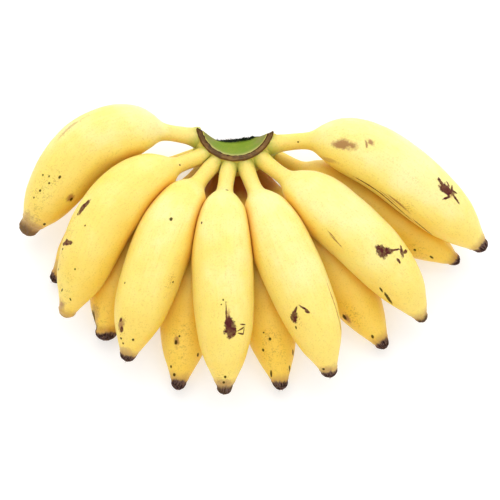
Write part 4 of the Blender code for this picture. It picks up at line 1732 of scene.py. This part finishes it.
class ThreadTree(GeometryTree):
    """Stands short, tapering, crooked threads on marked points."""

    def __init__(self) -> None:
        """Builds the tree."""
        super().__init__("dried_threads", (
            ("Points", "Geometry"), ("Length", "Float"), ("Thickness", "Float"), ("Crook", "Float"),
            ("Seed", "Int"), ("Finish", "Material"),
        ))
        along = Value(self, self.node("GeometryNodeSplineParameter", {}, {}).outputs["Factor"])
        end = self.node("ShaderNodeCombineXYZ", {}, {"Z": self.given["Length"]})
        line = self.node("GeometryNodeCurvePrimitiveLine", {}, {"End": end.outputs[0]})
        line = self.node("GeometryNodeResampleCurve", {}, {"Curve": line.outputs[0], "Count": 7})
        line = self.kept(line.outputs[0], "rise", along)
        thick = (1.0 - along * 0.75) * Value(self, self.given["Thickness"])
        ring = self.node("GeometryNodeCurvePrimitiveCircle", {}, {"Resolution": 6, "Radius": 1.0})
        tube = self.node("GeometryNodeCurveToMesh", {}, {
            "Curve": line, "Profile Curve": ring.outputs[0], "Scale": thick, "Fill Caps": True,
        })
        inputs = {"Vector": self.read("way", "FLOAT_VECTOR")}
        turned = self.node("FunctionNodeAlignRotationToVector", {"axis": "Z"}, inputs)
        inputs = {2: 0.35, 3: 1.0, "Seed": self.given["Seed"]}
        size = self.node("FunctionNodeRandomValue", {"data_type": "FLOAT"}, inputs)
        stood = self.node("GeometryNodeInstanceOnPoints", {}, {
            "Points": self.given["Points"], "Instance": tube.outputs[0],
            "Rotation": turned.outputs[0], "Scale": size.outputs[1],
        })
        real = self.node("GeometryNodeRealizeInstances", {}, {"Geometry": stood.outputs[0]})
        wild = self.node("ShaderNodeTexNoise", {}, {"Scale": 420.0, "Detail": 1.0})
        away = self.vectors("SUBTRACT", wild.outputs["Color"], (0.5, 0.5, 0.5)).outputs[0]
        bent = self.scaled(away, self.number("rise") * Value(self, self.given["Crook"]))
        moved = self.node("GeometryNodeSetPosition", {}, {"Geometry": real.outputs[0], "Offset": bent})
        self.finished(moved.outputs[0])


@dataclass(frozen=True)
class ThreadFinish:
    """The look of dried, torn threads."""

    dark: Colour = (0.020, 0.014, 0.009)
    light: Colour = (0.16, 0.095, 0.045)

    def build(self) -> bpy.types.Material:
        """Makes the material."""
        tree = FinishTree("dried_thread")
        shade = tree.noise(tree.place(), 300.0, 2.0)
        tree.vary("Base Color", tree.blend(shade.ramp(0.4, 0.7), self.dark, self.light))
        tree.vary("Roughness", 0.6 + shade * 0.3)
        tree.fix({"Specular IOR Level": 0.2})
        return tree.material


@dataclass
class DriedThreads:
    """The torn threads on the crown's back edge, and what is left of the flowers at the tips.

    Attributes:
        edge_count: how many stand on the torn edge.
        tip_count: how many stand on each tip.
        length: how long they are at most.
        thickness: their radius at the root, at most.
        crook: how crooked they are.
        seed: fixes their places, ways and lengths.
    """

    edge_count: int = 150
    tip_count: int = 10
    length: float = 1.5
    thickness: float = 0.13
    crook: float = 1.3
    seed: int = 5

    def build(self, crown: Crown, spines: list[Spine]) -> bpy.types.Object:
        """Makes all threads as one piece.

        Args:
            crown: the crown that they stand on.
            spines: the fingers whose tips carry some.

        Returns:
            The piece.
        """
        random = np.random.default_rng(self.seed)
        places, ways = [], []
        for angle in random.uniform(CROWN_ARC_DEG[0] + 3, CROWN_ARC_DEG[1] - 3, self.edge_count):
            outline, painted = crown.section(angle)
            k = int(np.argmax(painted["down"])) - int(random.integers(0, 5))
            places.append(outline[k] + (0.0, 0.0, crown.torn_height * 0.5))
            ways.append(random.normal((0.0, 0.5, 0.5), 0.5))
        for spine in spines:
            (tip,), (way,) = spine.at(np.array([0.994]))
            for _ in range(self.tip_count):
                places.append(tip + random.normal(0.0, 0.7, 3))
                ways.append(way * 1.2 + random.normal(0.0, 0.45, 3))
        carried = PieceMesh(np.array(places), [], {"way": np.array(ways)})
        grown = ThreadTree().grown(carried, [], {
            "Length": self.length * MM, "Thickness": self.thickness * MM, "Crook": self.crook * MM,
            "Seed": self.seed, "Finish": ThreadFinish().build(),
        })
        for vertex in grown.vertices:
            vertex.co.z = max(vertex.co.z, 0.1 * MM)
        return riding("dried_threads", grown)


@dataclass
class Studio:
    """The pale table, the soft light and the camera."""

    camera_elevation_deg: float = 75.0
    camera_distance: float = 861.0
    target: tuple[float, float, float] = (-2.1, 0.6, 28.0)
    lens: float = 100.0
    floor_size: float = 6.0
    floor_height: float = -0.0002
    floor_colour: Colour = (0.68, 0.68, 0.68)
    floor_glow: float = 0.40
    sky: float = 0.86
    key_place: tuple[float, float, float] = (0.08, 1.10, 1.25)
    key_size: float = 1.8
    key_power: float = 16.0
    fill_place: tuple[float, float, float] = (0.1, -1.1, 0.9)
    fill_power: float = 3.6

    def build(self) -> None:
        """Sets everything that isn't the fruit."""
        self.floor()
        self.lights()
        self.camera()

    def floor(self) -> None:
        """A pale light table, a hair under the fruit, which glows a little and softens the shadows."""
        half = self.floor_size / 2
        data = bpy.data.meshes.new("table_top")
        corners = [(-half, -half), (half, -half), (half, half), (-half, half)]
        data.from_pydata([(x, y, self.floor_height) for x, y in corners], [], [(0, 1, 2, 3)])
        tree = FinishTree("table_paint")
        tree.fix({
            "Base Color": self.floor_colour,
            "Roughness": 0.8,
            "Emission Color": (1.0, 1.0, 1.0),
            "Emission Strength": self.floor_glow,
        })
        data.materials.append(tree.material)
        made = bpy.data.objects.new("table_top", data)
        bpy.context.scene.collection.objects.link(made)

    def lights(self) -> None:
        """A wide soft key from behind the crown, and a pale surround."""
        self.panel("key", self.key_place, self.key_size, self.key_power)
        self.panel("fill", self.fill_place, self.key_size, self.fill_power)
        world = bpy.data.worlds.new("surround")
        world.use_nodes = True
        background = world.node_tree.nodes["Background"]
        background.inputs["Color"].default_value = (1.0, 1.0, 1.0, 1.0)
        background.inputs["Strength"].default_value = self.sky
        bpy.context.scene.world = world
        bpy.context.scene.view_settings.view_transform = "Standard"

    def panel(self, name: str, place: tuple[float, float, float], size: float, power: float) -> None:
        """A square light panel that faces the fruit.

        Args:
            name: its name.
            place: where it stands, in metres.
            size: its side, in metres.
            power: its power, in watts.
        """
        data = bpy.data.lights.new(name, "AREA")
        data.shape = "SQUARE"
        data.size = size
        data.energy = power
        made = bpy.data.objects.new(name, data)
        made.location = place
        made.rotation_euler = (-Vector(place)).to_track_quat("-Z", "Y").to_euler()
        bpy.context.scene.collection.objects.link(made)

    def camera(self) -> None:
        """The camera, high over the tips."""
        data = bpy.data.cameras.new("camera")
        data.lens = self.lens
        made = bpy.data.objects.new("camera", data)
        elevation = math.radians(self.camera_elevation_deg)
        back = Vector((0.0, -math.cos(elevation), math.sin(elevation))) * self.camera_distance
        made.location = (Vector(self.target) + back) * MM
        made.rotation_euler = (-back).to_track_quat("-Z", "Y").to_euler()
        bpy.context.scene.collection.objects.link(made)
        bpy.context.scene.camera = made


def main() -> None:
    """Dresses the whole hand and its studio."""
    logging.basicConfig(level=logging.INFO, format="%(message)s")
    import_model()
    spines = [Spine(finger) for finger in FINGERS]
    spheres = [spine.spheres() for spine in spines]
    detail = {}
    tree = FingerTree()
    for i, spine in enumerate(spines):
        made = BananaFinger(spine, tree, **detail).build(spheres[:i] + spheres[i + 1:])
        LOG.info("%s: %d faces", made.name, len(made.data.polygons))
    crown = Crown()
    for made in (crown.build(spines), DriedThreads().build(crown, spines)):
        LOG.info("%s: %d faces", made.name, len(made.data.polygons))
    Studio().build()


if __name__ == "__main__":
    main()
